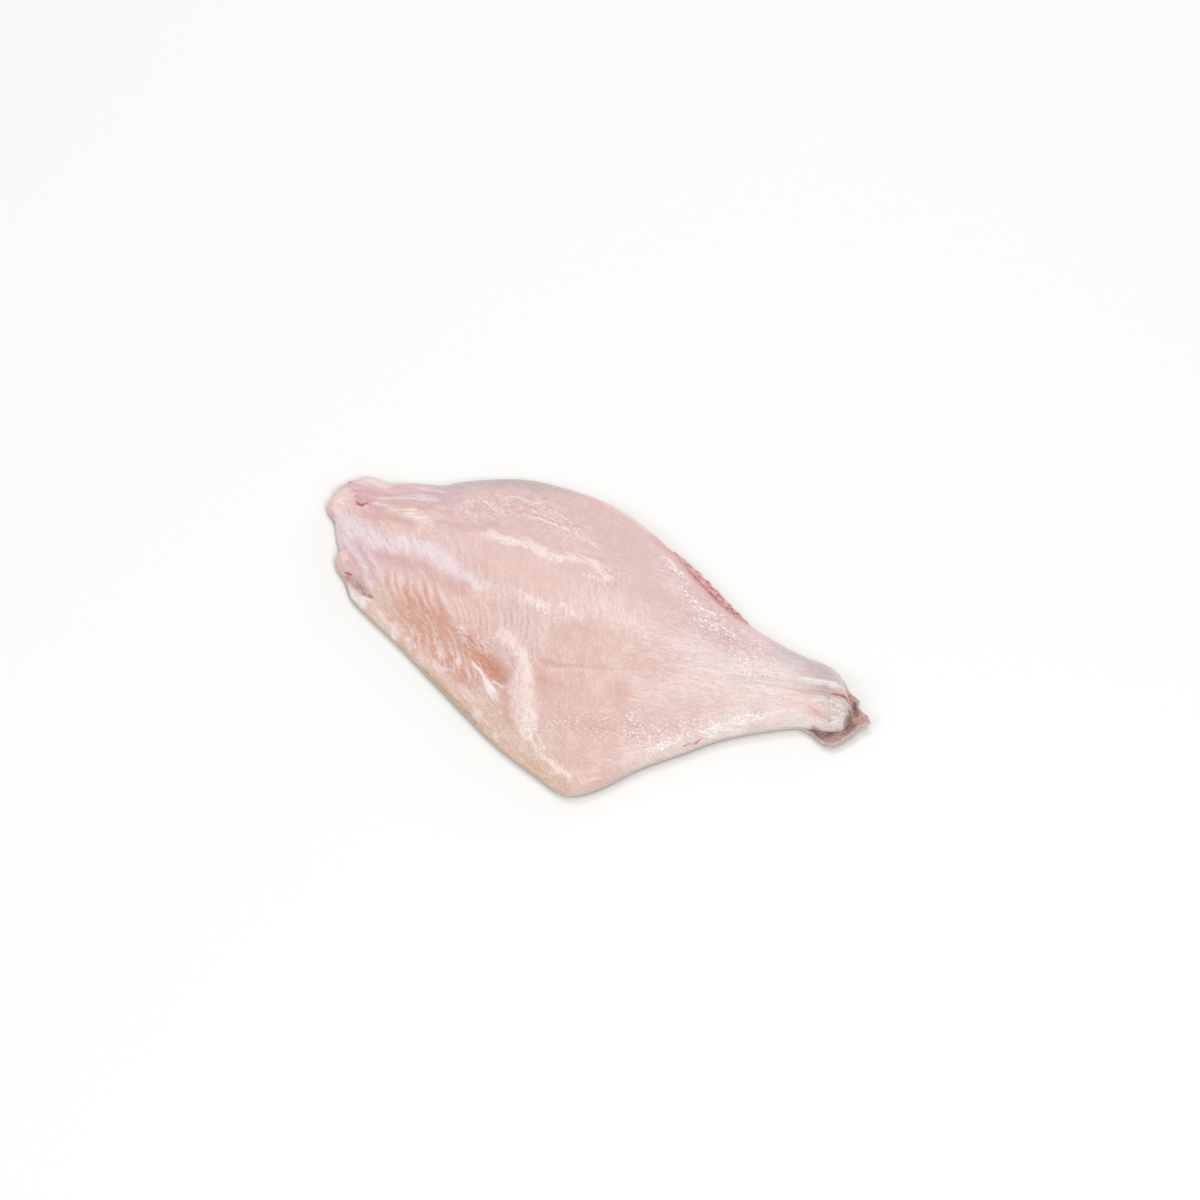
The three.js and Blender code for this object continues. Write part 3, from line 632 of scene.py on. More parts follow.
class Edge:
    """A plan curve through landmarks, read by its share of the length."""

    def __init__(self, landmarks):
        self.line = landmark_curve(landmarks)
        run = np.concatenate([[0], np.cumsum(np.linalg.norm(np.diff(self.line, axis=0), axis=1))])
        self.share = run / run[-1]

    def at(self, t):
        """The curve's points at shares of its length."""
        return np.stack([np.interp(t, self.share, self.line[:, k]) for k in (0, 1)], -1)

    def offset(self, reach, turn):
        """The curve's samples moved out along its normal, by a reach that may vary with the share."""
        t = np.linspace(0, 1, EDGE_SAMPLES)
        points = self.at(t)
        run = np.gradient(points, axis=0)
        out = turn * np.stack([-run[:, 1], run[:, 0]], -1)
        out /= np.linalg.norm(out, axis=1, keepdims=True)
        return points + out * np.broadcast_to(reach(t), t.shape)[:, None]


def nearest(x, y, line):
    """Distance to a polyline, the share of its length there, and the side (+ is left of it)."""
    line = np.asarray(line, float)
    step = np.diff(line, axis=0)
    run = np.concatenate([[0], np.cumsum(np.linalg.norm(step, axis=1))])
    best = np.full(x.shape, np.inf)
    share = np.zeros(x.shape)
    side = np.zeros(x.shape)
    for k, (dx, dy) in enumerate(step):
        t = np.clip(((x - line[k, 0]) * dx + (y - line[k, 1]) * dy) / (dx * dx + dy * dy + 1e-12), 0, 1)
        qx = x - line[k, 0] - t * dx
        qy = y - line[k, 1] - t * dy
        d = np.hypot(qx, qy)
        closer = d < best
        best = np.where(closer, d, best)
        share = np.where(closer, (run[k] + t * (run[k + 1] - run[k])) / run[-1], share)
        side = np.where(closer, np.sign(dx * qy - dy * qx), side)
    return best, share, side


def stations(table, x):
    """Cubic curve through (position, value) stations, with slopes from their neighbours."""
    at, value = np.array(table, float).T
    last = len(at) - 1
    before = np.maximum(np.arange(last + 1) - 1, 0)
    after = np.minimum(np.arange(last + 1) + 1, last)
    slope = (value[after] - value[before]) / (at[after] - at[before])
    k = np.clip(np.searchsorted(at, x, side="right") - 1, 0, last - 1)
    span = at[k + 1] - at[k]
    t = np.clip((x - at[k]) / span, 0, 1)
    t2 = t * t
    t3 = t2 * t
    low = (2 * t3 - 3 * t2 + 1) * value[k] + (t3 - 2 * t2 + t) * span * slope[k]
    return low + (3 * t2 - 2 * t3) * value[k + 1] + (t3 - t2) * span * slope[k + 1]


def lattice_noise(x, y, size, seed, turn=0.0, stretch=1.0):
    """Smooth noise from -1 to 1: random values on a square lattice of that size, blended by 3t² - 2t³.

    The lattice is turned by an angle and pulled out along it, so stretched noise makes fibres.
    """
    c, s = math.cos(turn), math.sin(turn)
    along = (x * c + y * s) / (size * stretch)
    over = (-x * s + y * c) / size
    table = np.random.default_rng(seed).uniform(-1, 1, (LATTICE, LATTICE))
    i, j = np.floor(along).astype(int), np.floor(over).astype(int)
    u, v = smooth_step(0, 1, along - i), smooth_step(0, 1, over - j)
    corner = [table[(i + a) % LATTICE, (j + b) % LATTICE] for a in (0, 1) for b in (0, 1)]
    return mix(mix(corner[0], corner[2], u), mix(corner[1], corner[3], u), v)


def layered_noise(x, y, size, seed, layers=3, turn=0.0, stretch=1.0):
    """Noise of several sizes, each half the last one and half as strong."""
    total = sum(
        lattice_noise(x, y, size / 2 ** k, seed + 7 * k, turn, stretch) / 2 ** k for k in range(layers)
    )
    return total / (2 - 0.5 ** (layers - 1))


def stroke(x, y, wide, line, fade=0.0):
    """Bell across a line, exp(-(distance / half width)^2), round or faded at its ends."""
    value = np.zeros(x.shape)
    path = landmark_curve(line, 6) if len(line) > 2 else np.asarray(line, float)
    reach = 3 * wide
    low, high = path.min(0) - reach, path.max(0) + reach
    near = (x > low[0]) & (x < high[0]) & (y > low[1]) & (y < high[1])
    d, share, _ = nearest(x[near], y[near], path)
    bell = np.exp(-(d / wide) ** 2)
    if fade:
        bell *= smooth_step(-0.01, fade, share) * smooth_step(1.01, 1 - fade, share)
    value[near] = bell
    return value


# ---- Grids and meshes -------------------------------------------------------


def spread(count, span, rim):
    """Shares from 0 to 1: the rim's offsets in millimetres at both ends, evenly spaced between."""
    rim = np.asarray(rim, float)
    span = np.atleast_1d(span)[:, None]
    near = np.minimum(rim / span, 0.42 * rim / rim[-1])
    inner = count - 2 * len(rim)
    t = (np.arange(inner) + 1) / (inner + 1)
    even = mix(near[:, -1:], 1 - near[:, -1:], t[None, :])
    return np.hstack([near, even, 1 - near[:, ::-1]])


def plan_grid(edges, along, across, rim):
    """Plan points between four edges: the two ruled surfaces together, less their shared corners."""
    u = spread(along, BODY_LENGTH, rim)[0]
    low, high = edges["belly"].at(u), edges["back"].at(u)
    v = spread(across, np.linalg.norm(high - low, axis=1), rim)
    u = np.repeat(u[:, None], across, 1)
    left, right = edges["head"].at(v), edges["tail"].at(v)
    fu, fv = u[..., None], v[..., None]
    corners = mix(
        mix(edges["belly"].at(0), edges["back"].at(0), fv),
        mix(edges["belly"].at(1), edges["back"].at(1), fv),
        fu,
    )
    plan = mix(low[:, None], high[:, None], fv) + mix(left, right, fu) - corners
    return plan[..., 0], plan[..., 1], u, v


def rim_distance(x, y, edges):
    """Distance in plan to the outline that four edges make."""
    t = np.linspace(0, 1, EDGE_SAMPLES)
    loop = [
        edges["belly"].at(t), edges["tail"].at(t), edges["back"].at(t)[::-1], edges["head"].at(t)[::-1],
    ]
    return nearest(x, y, np.vstack(loop))[0]


def slab(name, x, y, upper, lower, fields, step=1, bulge=0.0, turn=1.0, rings=1):
    """Closed mesh between two heights over a plan grid, in millimetres.

    The rim wall has rings of points that bulge outwards along sin(turn pi t), by a length or by a
    value on the grid, so half a turn leaves the foot at its widest. The underside keeps every
    step-th line along the grid, and its two end rows are closed by faces that take in the points
    between. fields are values on the grid, stored as attributes; side is 0 above and 1 below.
    """
    rows, cols = x.shape
    index = np.arange(rows * cols).reshape(rows, cols)
    loop = np.concatenate([index[:-1, 0], index[-1, :-1], index[:0:-1, -1], index[0, :0:-1]])
    flat = np.stack([x.ravel(), y.ravel(), upper.ravel()], -1)
    under = np.stack([x.ravel(), y.ravel(), lower.ravel()], -1)

    run = np.roll(flat[loop], -1, 0) - np.roll(flat[loop], 1, 0)
    out = np.stack([run[:, 1], -run[:, 0], 0 * run[:, 0]], -1)
    out /= np.linalg.norm(out, axis=1, keepdims=True)
    share = np.arange(1, rings) / rings
    out *= np.broadcast_to(bulge, x.shape).ravel()[loop, None]
    wall = [mix(flat[loop], under[loop], t) + out * math.sin(turn * math.pi * t) for t in share]
    under[loop] += out * math.sin(turn * math.pi)

    keep = np.zeros((rows, cols), bool)
    keep[:, ::step] = True
    keep[[0, -1], :] = True
    keep[:, -1] = True
    kept = index[keep]
    points = np.vstack([flat, *wall, under[kept]])
    source = np.concatenate([index.ravel(), *[loop] * len(wall), kept])
    side = np.concatenate([np.zeros(len(flat)), *[np.full(len(loop), t) for t in share], np.ones(len(kept))])

    low = np.full(rows * cols, -1)
    low[kept] = np.arange(len(kept)) + len(flat) + len(wall) * len(loop)
    middle = [len(flat) + k * len(loop) + np.arange(len(loop)) for k in range(len(wall))]
    chain = [loop, *middle, low[loop]]
    low = low.reshape(rows, cols)

    def quads(a, b, c, d):
        return np.stack([a, b, c, d], -1).reshape(-1, 4)

    faces = [quads(index[:-1, :-1], index[1:, :-1], index[1:, 1:], index[:-1, 1:])]
    faces += [quads(a, b, np.roll(b, -1), np.roll(a, -1)) for a, b in zip(chain, chain[1:])]
    lines = np.append(np.arange(0, cols - 1, step), cols - 1)
    first, second = lines[:-1], lines[1:]
    inner = slice(1, -1) if step > 1 else slice(None)
    body = low[inner]
    faces.append(quads(body[:-1][:, first], body[:-1][:, second], body[1:][:, second], body[1:][:, first]))
    many = []
    if step > 1:
        for a, b in zip(first, second):
            many.append([*low[0, a:b + 1], low[1, b], low[1, a]])
            many.append([low[-2, a], low[-2, b], *low[-1, a:b + 1][::-1]])
    mesh = bpy.data.meshes.new(name)
    mesh.from_pydata(points * MM, [], [*np.vstack(faces).tolist(), *[[int(k) for k in f] for f in many]])
    mesh.update()
    stored = {key: value.ravel()[source] for key, value in fields.items()}
    stored["side"] = side
    for key, value in stored.items():
        mesh.attributes.new(key, "FLOAT", "POINT").data.foreach_set("value", value.astype(np.float32))
    mesh.shade_smooth()
    if mesh.validate():
        raise RuntimeError(f"the grid of {name} has faces that aren't sound")
    piece = bpy.data.objects.new(name, mesh)
    bpy.context.scene.collection.objects.link(piece)
    return piece


# ---- Outlines ---------------------------------------------------------------


def fin_width(share):
    """Width of the red muscle at a share of the back edge: a power of a sine, made ragged."""
    t = np.clip((share - FIN["from"]) / (FIN["to"] - FIN["from"]), 0, 1)
    ragged = 1 + FIN["ragged"] * np.sin(FIN["turns"] * np.pi * t) * np.cos(7.3 * t)
    return FIN["wide"] * np.sin(np.pi * t) ** 0.55 * ragged


def flesh_edges():
    """The four edges of the flesh in plan."""
    return {
        "head": Edge(HEAD_EDGE), "back": Edge(BACK_EDGE), "tail": Edge(TAIL_EDGE), "belly": Edge(BELLY_EDGE),
    }


def skin_edges(sizes):
    """The skin's outline: the flesh's, a little wider, round the red muscle and the tail's tab."""
    edges = flesh_edges()
    reach = sizes.skin_reach / MM
    gap = sizes.gap / MM

    def strip(t):
        return np.where(fin_width(t) > 0, fin_width(t) + gap, 0)

    def frayed(t):
        return TAB_FRAY * layered_noise(t * 36, 0 * t, 1.6, SEEDS["tab"], 2) * np.sin(np.pi * t) ** 0.3

    belly = edges["belly"].offset(lambda t: reach, -1)
    back = edges["back"].offset(lambda t: reach + strip(t), 1)
    head = edges["head"].offset(lambda t: reach, 1)
    belly = belly[belly[:, 0] < TAB_BELLY_FROM]
    back = back[back[:, 0] < TAB_BACK_FROM]
    head[0] = belly[0]
    head[-1] = back[0]
    return {
        "head": Edge(head), "back": Edge([*back, *TAB_BACK]), "tail": Edge(Edge(TAB_END).offset(frayed, -1)),
        "belly": Edge([*belly, *TAB_BELLY]),
    }


# ---- Heights, in millimetres ------------------------------------------------


def skin_base(x, y, edges, sizes):
    """Underside of the skin: flat, its margin lifted by the square of the nearness to the edge."""
    margin = 1 - np.clip(rim_distance(x, y, edges) / (sizes.margin_wide / MM), 0, 1)
    lift = sizes.margin_lift + sizes.tab_lift * smooth_step(104, 115, x)
    return margin ** 2 * lift / MM


def side_thickness(top, side, t):
    """One side of the fillet, from its ridge (t = 0) to its rim (t = 1): (1 - t^power)^fullness."""
    rim = np.minimum(side["rim"], side["share"] * top)
    return rim + (top - rim) * np.maximum(1 - t ** side["power"], 0) ** side["fullness"]


def cavity_wall(x, y):
    """How far a point is down in the belly cavity, from 0 to 1, and the belly wall's thickness there."""
    d, share, side = nearest(x, y, landmark_curve(CAVITY_LINE, 8))
    slope = mix(*CAVITY_SLOPE, smooth_step(0.1, 0.3, share))
    into = smooth_step(-0.5 * slope, 0.5 * slope, -side * d) * smooth_step(1, 0.9, share)
    return into, mix(FLAP["head"], FLAP["vent"], share)


def rib_fan(x, y, upper, lower, count, bow, rise, wide):
    """Ribs between two lines: each runs from a share of one to that share of the other, bowed."""
    total = np.zeros(x.shape)
    upper, lower = np.asarray(upper, float), np.asarray(lower, float)
    jitter = np.random.default_rng(SEEDS["ribs"] + count).uniform(-0.3, 0.3, (count, 2))
    for k in range(count):
        t = np.clip((k + 0.5 + jitter[k]) / count, 0, 1)
        a, b = mix(upper[0], upper[1], t[0]), mix(lower[0], lower[1], t[1])
        across = np.array([b[1] - a[1], a[0] - b[0]]) / np.linalg.norm(b - a)
        middle = (a + b) / 2 - across * bow
        total += rise * stroke(x, y, wide, [a, middle, b], RIB_FADE)
    return total


def fibre_zones(x, y):
    """How much each fibre direction holds at a point. The weights add up to 1."""
    into, _ = cavity_wall(x, y)
    rising = smooth_step(-42, -68, x) * smooth_step(20, 32, y)
    lengthwise = smooth_step(6, 40, x) * (1 - rising)
    falling = smooth_step(-70, -50, x) * smooth_step(18, 28, y) * (1 - rising - lengthwise)
    slanting = np.maximum(smooth_step(-48, -62, x), into * smooth_step(8, -8, x))
    slanting = slanting * (1 - rising - lengthwise - falling)
    return {
        "rising": rising, "slanting": slanting, "falling": falling, "lengthwise": lengthwise,
        "steep": 1 - rising - slanting - falling - lengthwise,
    }


def flesh_grain(x, y):
    """Fibre pattern: noise stretched along each direction, each weighted to its own part."""
    return sum(
        weight * layered_noise(x, y, 1.5, FIBRES[zone][1], 2, math.radians(FIBRES[zone][0]), 9)
        for zone, weight in fibre_zones(x, y).items()
    )


def along_fibres(x, y, reach):
    """A plan whose points are shifted along their fibres by fine noise, which frays every edge."""
    shift_x, shift_y = np.zeros(x.shape), np.zeros(x.shape)
    for zone, weight in fibre_zones(x, y).items():
        turn, seed = math.radians(FIBRES[zone][0]), FIBRES[zone][1] + FIBRE_SHIFT_SEED
        shift = reach * weight * layered_noise(x, y, 1.3, seed, 2, turn, 5)
        shift_x += shift * math.cos(turn)
        shift_y += shift * math.sin(turn)
    return x + shift_x, y + shift_y


def flesh_top(x, y, u, v, edges, base, foot, sizes):
    """Top of the flesh: arched thickness, cavity, grooves, folds, ribs and grain, rounded at its rim."""
    top = stations(RIDGE, u)
    belly_t = np.clip((RIDGE_ACROSS - v) / RIDGE_ACROSS, 0, 1)
    back_t = np.clip((v - RIDGE_ACROSS) / (1 - RIDGE_ACROSS), 0, 1)
    belly, back = side_thickness(top, BELLY_SIDE, belly_t), side_thickness(top, BACK_SIDE, back_t)
    muscle = np.where(v < RIDGE_ACROSS, belly, back)
    into, flap = cavity_wall(x, y)
    d = rim_distance(x, y, edges)
    flap = mix(FLAP["rim"], flap, smooth_step(0, FLAP["taper"], d))
    thick = mix(muscle, np.minimum(flap, muscle), into)
    for rise, wide, line in RELIEF.values():
        thick += rise * stroke(x, y, wide, line, RELIEF_FADE)
    inside = smooth_step(0, 4, d)
    for rise, wide, line in FOLDS.values():
        thick += rise * stroke(x, y, wide, line, FOLD_FADE) * mix(0.4, 1, inside)
    for fan in RIB_FANS.values():
        thick += rib_fan(x, y, *fan)
    thick += inside * sizes.swell_high / MM * layered_noise(x, y, 15, SEEDS["swell"], 3)
    thick += inside * sizes.grain_high / MM * flesh_grain(x, y)
    share, least, most = ROUNDING
    rounding = np.clip(share * thick, least, most)
    outer = 1 - np.clip(d / rounding, 0, 1)
    rounded = thick * np.sqrt(np.clip(1 - outer * outer, 0, 1))
    return base + np.maximum(rounded, foot)


def soft_shift(x, y, reach, size, seeds, layers):
    """Shifts along x and y by soft noise of that size, so what is painted has edges that wander."""
    return [reach * layered_noise(x, y, size, seed, layers) for seed in seeds]


def painted(x, y, strokes):
    """Strokes laid over one another: 1 - product(1 - strength * bell). Long thin ones taper."""
    rest = np.ones(x.shape)
    for wide, line, *strength in strokes:
        fade = STROKE_FADE if wide < 2 and len(line) > 2 else 0.0
        rest *= 1 - (strength[0] if strength else STROKE_STRENGTH) * stroke(x, y, wide, line, fade)
    return 1 - rest


def flesh_fields(x, y, edges):
    """Where each colour lies: strokes over a plan that noise has warped, so their edges wander."""
    frayed_x, frayed_y = along_fibres(x, y, 1.8)
    shift_x, shift_y = soft_shift(x, y, 0.9, 6, SEEDS["colours"], 3)
    frayed_x += shift_x
    frayed_y += shift_y
    fields = {}
    for name, strokes in STROKES.items():
        own = CRISP_FRAY if name in CRISP else 1.0
        fields[name] = painted(mix(x, frayed_x, own), mix(y, frayed_y, own), strokes)
    into, _ = cavity_wall(frayed_x, frayed_y)
    fields["beige"] = np.maximum(into, 0.8 * fields["beige"])
    fields.update({zone: weight for zone, weight in fibre_zones(x, y).items() if zone != "steep"})
    for name, fan in RIB_FANS.items():
        fields[name] = np.clip(rib_fan(frayed_x, frayed_y, *fan[:4], 1.0, fan[5]), 0, 1)
    return fields


# ---- Shader nodes -----------------------------------------------------------


class Value:
    """An output socket that arithmetic turns into Math nodes."""

    def __init__(self, graph, socket):
        self.graph = graph
        self.socket = socket

    def _math(self, operation, a, b):
        return self.graph.node("ShaderNodeMath", {"operation": operation}, {0: a, 1: b})

    def __add__(self, other):
        return self._math("ADD", self, other)

    def __sub__(self, other):
        return self._math("SUBTRACT", self, other)

    def __rsub__(self, other):
        return self._math("SUBTRACT", other, self)

    def __mul__(self, other):
        return self._math("MULTIPLY", self, other)

    __radd__ = __add__
    __rmul__ = __mul__


class Graph:
    """A material's nodes, each added by node()."""

    def __init__(self, name):
        self.material = bpy.data.materials.new(name)
        self.material.use_nodes = True
        self.tree = self.material.node_tree
        self.tree.nodes.clear()

    def node(self, kind, settings=None, inputs=None, output=0):
        """Adds a node, sets its settings, then its sockets by name, identifier or place."""
        made = self.tree.nodes.new(kind)
        for key, value in (settings or {}).items():
            setattr(made, key, value)
        for key, value in (inputs or {}).items():
            named = [s for s in made.inputs if key in (s.identifier, s.name)]
            socket = made.inputs[key] if isinstance(key, int) else named[0]
            if isinstance(value, Value):
                self.tree.links.new(value.socket, socket)
            elif isinstance(socket.default_value, float):
                socket.default_value = value
            else:
                socket.default_value = [*value, 1][:len(socket.default_value)]
        return Value(self, made.outputs[output])

    def field(self, name):
        """A value stored on the piece's own points."""
        return self.node("ShaderNodeAttribute", {"attribute_name": name}, output="Fac")

    def place(self):
        """Position in the piece's own frame, in metres."""
        return self.node("ShaderNodeTexCoord", output="Object")

    def noise(self, place, size, detail=3.0, roughness=0.55, turn=0.0, stretch=1.0):
        """Noise of that size, turned and pulled out along X by a stretch."""
        grid = self.node(
            "ShaderNodeMapping", {"vector_type": "TEXTURE"},
            {"Vector": place, "Rotation": (0, 0, turn), "Scale": (size * stretch, size, size)},
        )
        settings = {"Vector": grid, "Scale": 1.0, "Detail": detail, "Roughness": roughness}
        return self.node("ShaderNodeTexNoise", None, settings)

    def wander(self, place, size, reach):
        """The place moved about by soft noise of that size, so straight patterns wander."""
        cloud = self.node(
            "ShaderNodeTexNoise", None, {"Vector": place, "Scale": 1 / size, "Detail": 2.0}, output="Color"
        )
        shift = self.node("ShaderNodeVectorMath", {"operation": "SUBTRACT"}, {0: cloud, 1: (0.5, 0.5, 0.5)})
        return self.node(
            "ShaderNodeVectorMath", {"operation": "MULTIPLY_ADD"}, {0: shift, 1: (reach,) * 3, 2: place}
        )

    def cells(self, place, size):
        """Distance to the nearest of points scattered about that size apart."""
        return self.node("ShaderNodeTexVoronoi", None, {"Vector": place, "Scale": 1 / size})

    def steps(self, value, low, high):
        """0 below low and 1 above high, along a smooth step."""
        return self.node(
            "ShaderNodeMapRange", {"interpolation_type": "SMOOTHSTEP"},
            {"Value": value, "From Min": low, "From Max": high, "To Min": 0.0, "To Max": 1.0},
        )

    def ridge(self, value, width):
        """1 where a noise crosses its middle and 0 from that far off it, which draws thin lines."""
        off = value - 0.5
        return self.steps(off * off, width * width, 0.0)

    def blend(self, a, b, factor):
        """Colour a turned towards colour b."""
        return self.node(
            "ShaderNodeMix", {"data_type": "RGBA"}, {"Factor_Float": factor, "A_Color": a, "B_Color": b},
            output=2,
        )

    def finish(self, sockets, bump, depth):
        """Principled surface over a bump of that depth in metres, given to the output."""
        normal = self.node("ShaderNodeBump", None, {"Height": bump, "Distance": depth, "Strength": 1.0})
        surface = self.node("ShaderNodeBsdfPrincipled", None, {**sockets, "Normal": normal})
        output = self.tree.nodes.new("ShaderNodeOutputMaterial")
        self.tree.links.new(surface.socket, output.inputs["Surface"])
        return self.material


def fibre_noise(g, place, size, stretch, detail):
    """Noise stretched along each fibre direction, weighted by the zones stored on the flesh."""
    steep = 1.0
    total = 0.0
    for zone, (turn, _) in FIBRES.items():
        weight = steep if zone == "steep" else g.field(zone)
        steep = steep - weight
        total = g.noise(place, size, detail, 0.6, math.radians(turn), stretch) * weight + total
    return total


def flesh_material(tints):
    """Moist translucent flesh: fibres, mottling and the named tints, each broken up by the grain."""
    g = Graph("moist_flesh")
    place = g.place()
    bent = g.wander(place, 8 * MM, 3 * MM)
    fibre = fibre_noise(g, bent, 0.85 * MM, 8, 2)
    veins = g.noise(bent, 2.4 * MM, 2, 0.6, math.radians(-35), 3.5)
    small = g.noise(bent, 0.8 * MM, 2, 0.6, math.radians(-22), 4)
    streak = g.steps(fibre, 0.36, 0.64)
    mottle = g.noise(bent, 6 * MM, 3, 0.62)
    patch = g.noise(bent, 3.6 * MM, 2, 0.6, math.radians(-38), 1.8)
    beaded, hatch, wall = g.field("beaded"), g.field("hatch"), g.field("beige")
    along = g.field("lengthwise")
    fine = g.noise(place, 0.75 * MM, 2, 0.7)
    fine = g.noise(bent, 0.6 * MM, 2, 0.7, math.radians(12), 3.5) * along + fine * (1 - along)

    base = g.blend(tints.flesh_deep, tints.flesh, g.steps(streak * 0.4 + mottle, 0.35, 1.0))
    for name, (most, streaking, low) in TINTS.items():
        mask = g.steps(g.field(name) * (1 + (streak - 0.5) * streaking), low, 1 - low)
        base = g.blend(base, getattr(tints, name), mask * most)
    # Painted shade in the head wall's rib grooves
    rib = g.field("head wall")
    base = g.blend(base, tints.rib, rib * (0.6 + streak * 0.3))
    base = g.blend(base, tints.peach, g.field("head light") * 0.5)
    base = g.blend(base, tints.rib, g.field("middle shade") * 0.4)
    base = g.blend(base, tints.lilac, g.field("middle wall") * 0.4)

    clear = wall * (1 - g.field("orange"))
    base = g.blend(base, tints.milk, g.steps(patch, 0.56, 0.72) * clear * 0.35)
    base = g.blend(base, tints.rib, g.steps(patch, 0.46, 0.3) * clear * 0.35)
    base = g.blend(base, tints.rose, g.steps(small, 0.5, 0.36) * (0.12 + hatch * 0.7))
    vein = g.ridge(veins, 0.028)
    web = vein * (0.15 + hatch * 0.5 + clear * 0.25 + g.field("cream") * 0.4)
    base = g.blend(base, tints.cream, web + g.field("belly wall") * 0.4)
    strand = g.ridge(g.noise(bent, 1.6 * MM, 2, 0.55, math.radians(-19), 10), 0.035)
    base = g.blend(base, tints.glint, strand * hatch * 0.45)
    thread = g.ridge(g.noise(bent, 3 * MM, 3, 0.6, math.radians(-50), 1.6), 0.012)
    base = g.blend(base, tints.blood, thread * g.steps(mottle, 0.48, 0.62) * hatch * 0.5)
    base = g.blend(base, tints.rose, g.ridge(mottle, 0.02) * (0.15 + g.field("cream") * 0.15))
    coarse = 0.4 + hatch * 0.5 + clear * 0.5 + g.field("cream") * 0.3
    base = g.blend(base, tints.milk, g.steps(fine, 0.5, 0.8) * coarse * 0.5)
    base = g.blend(base, tints.rose, g.steps(fine, 0.5, 0.2) * coarse * 0.45)
    base = g.blend(base, tints.plum, g.steps(fine, 0.46, 0.3) * g.field("knob") * 0.5)
    # White specks where the field beaded lies: pale specks of fat, partly painted highlights of the wet
    # surface
    spark = g.steps(g.noise(bent, 0.75 * MM, 1, 0.5, math.radians(-12), 1.8), 0.59, 0.66)
    base = g.blend(base, tints.glint, spark * beaded * 0.85)

    wet = g.noise(place, 9 * MM, 2, 0.6)
    bead = g.steps(g.noise(place, 1.4 * MM, 2, 0.5), 0.54, 0.7) * beaded
    rough = 0.36 + (wet - 0.5) * 0.3 + (fine - 0.5) * 0.2 - beaded * 0.14
    coat = 0.3 + (wet - 0.5) * 0.4 + spark * beaded * 0.5 + g.field("glint") * 0.5
    bump = fibre * 0.7 + fine * 0.35 + mottle * 0.7 + bead * 0.5
    return g.finish(
        {
            "Base Color": base, "Roughness": rough, "IOR": 1.38, "Specular IOR Level": 0.5,
            "Subsurface Weight": 0.3, "Subsurface Radius": (1.0, 0.45, 0.35), "Subsurface Scale": 2.5 * MM,
            "Coat Weight": coat, "Coat Roughness": 0.08, "Coat IOR": 1.34,
        },
        bump, 0.5 * MM,
    )


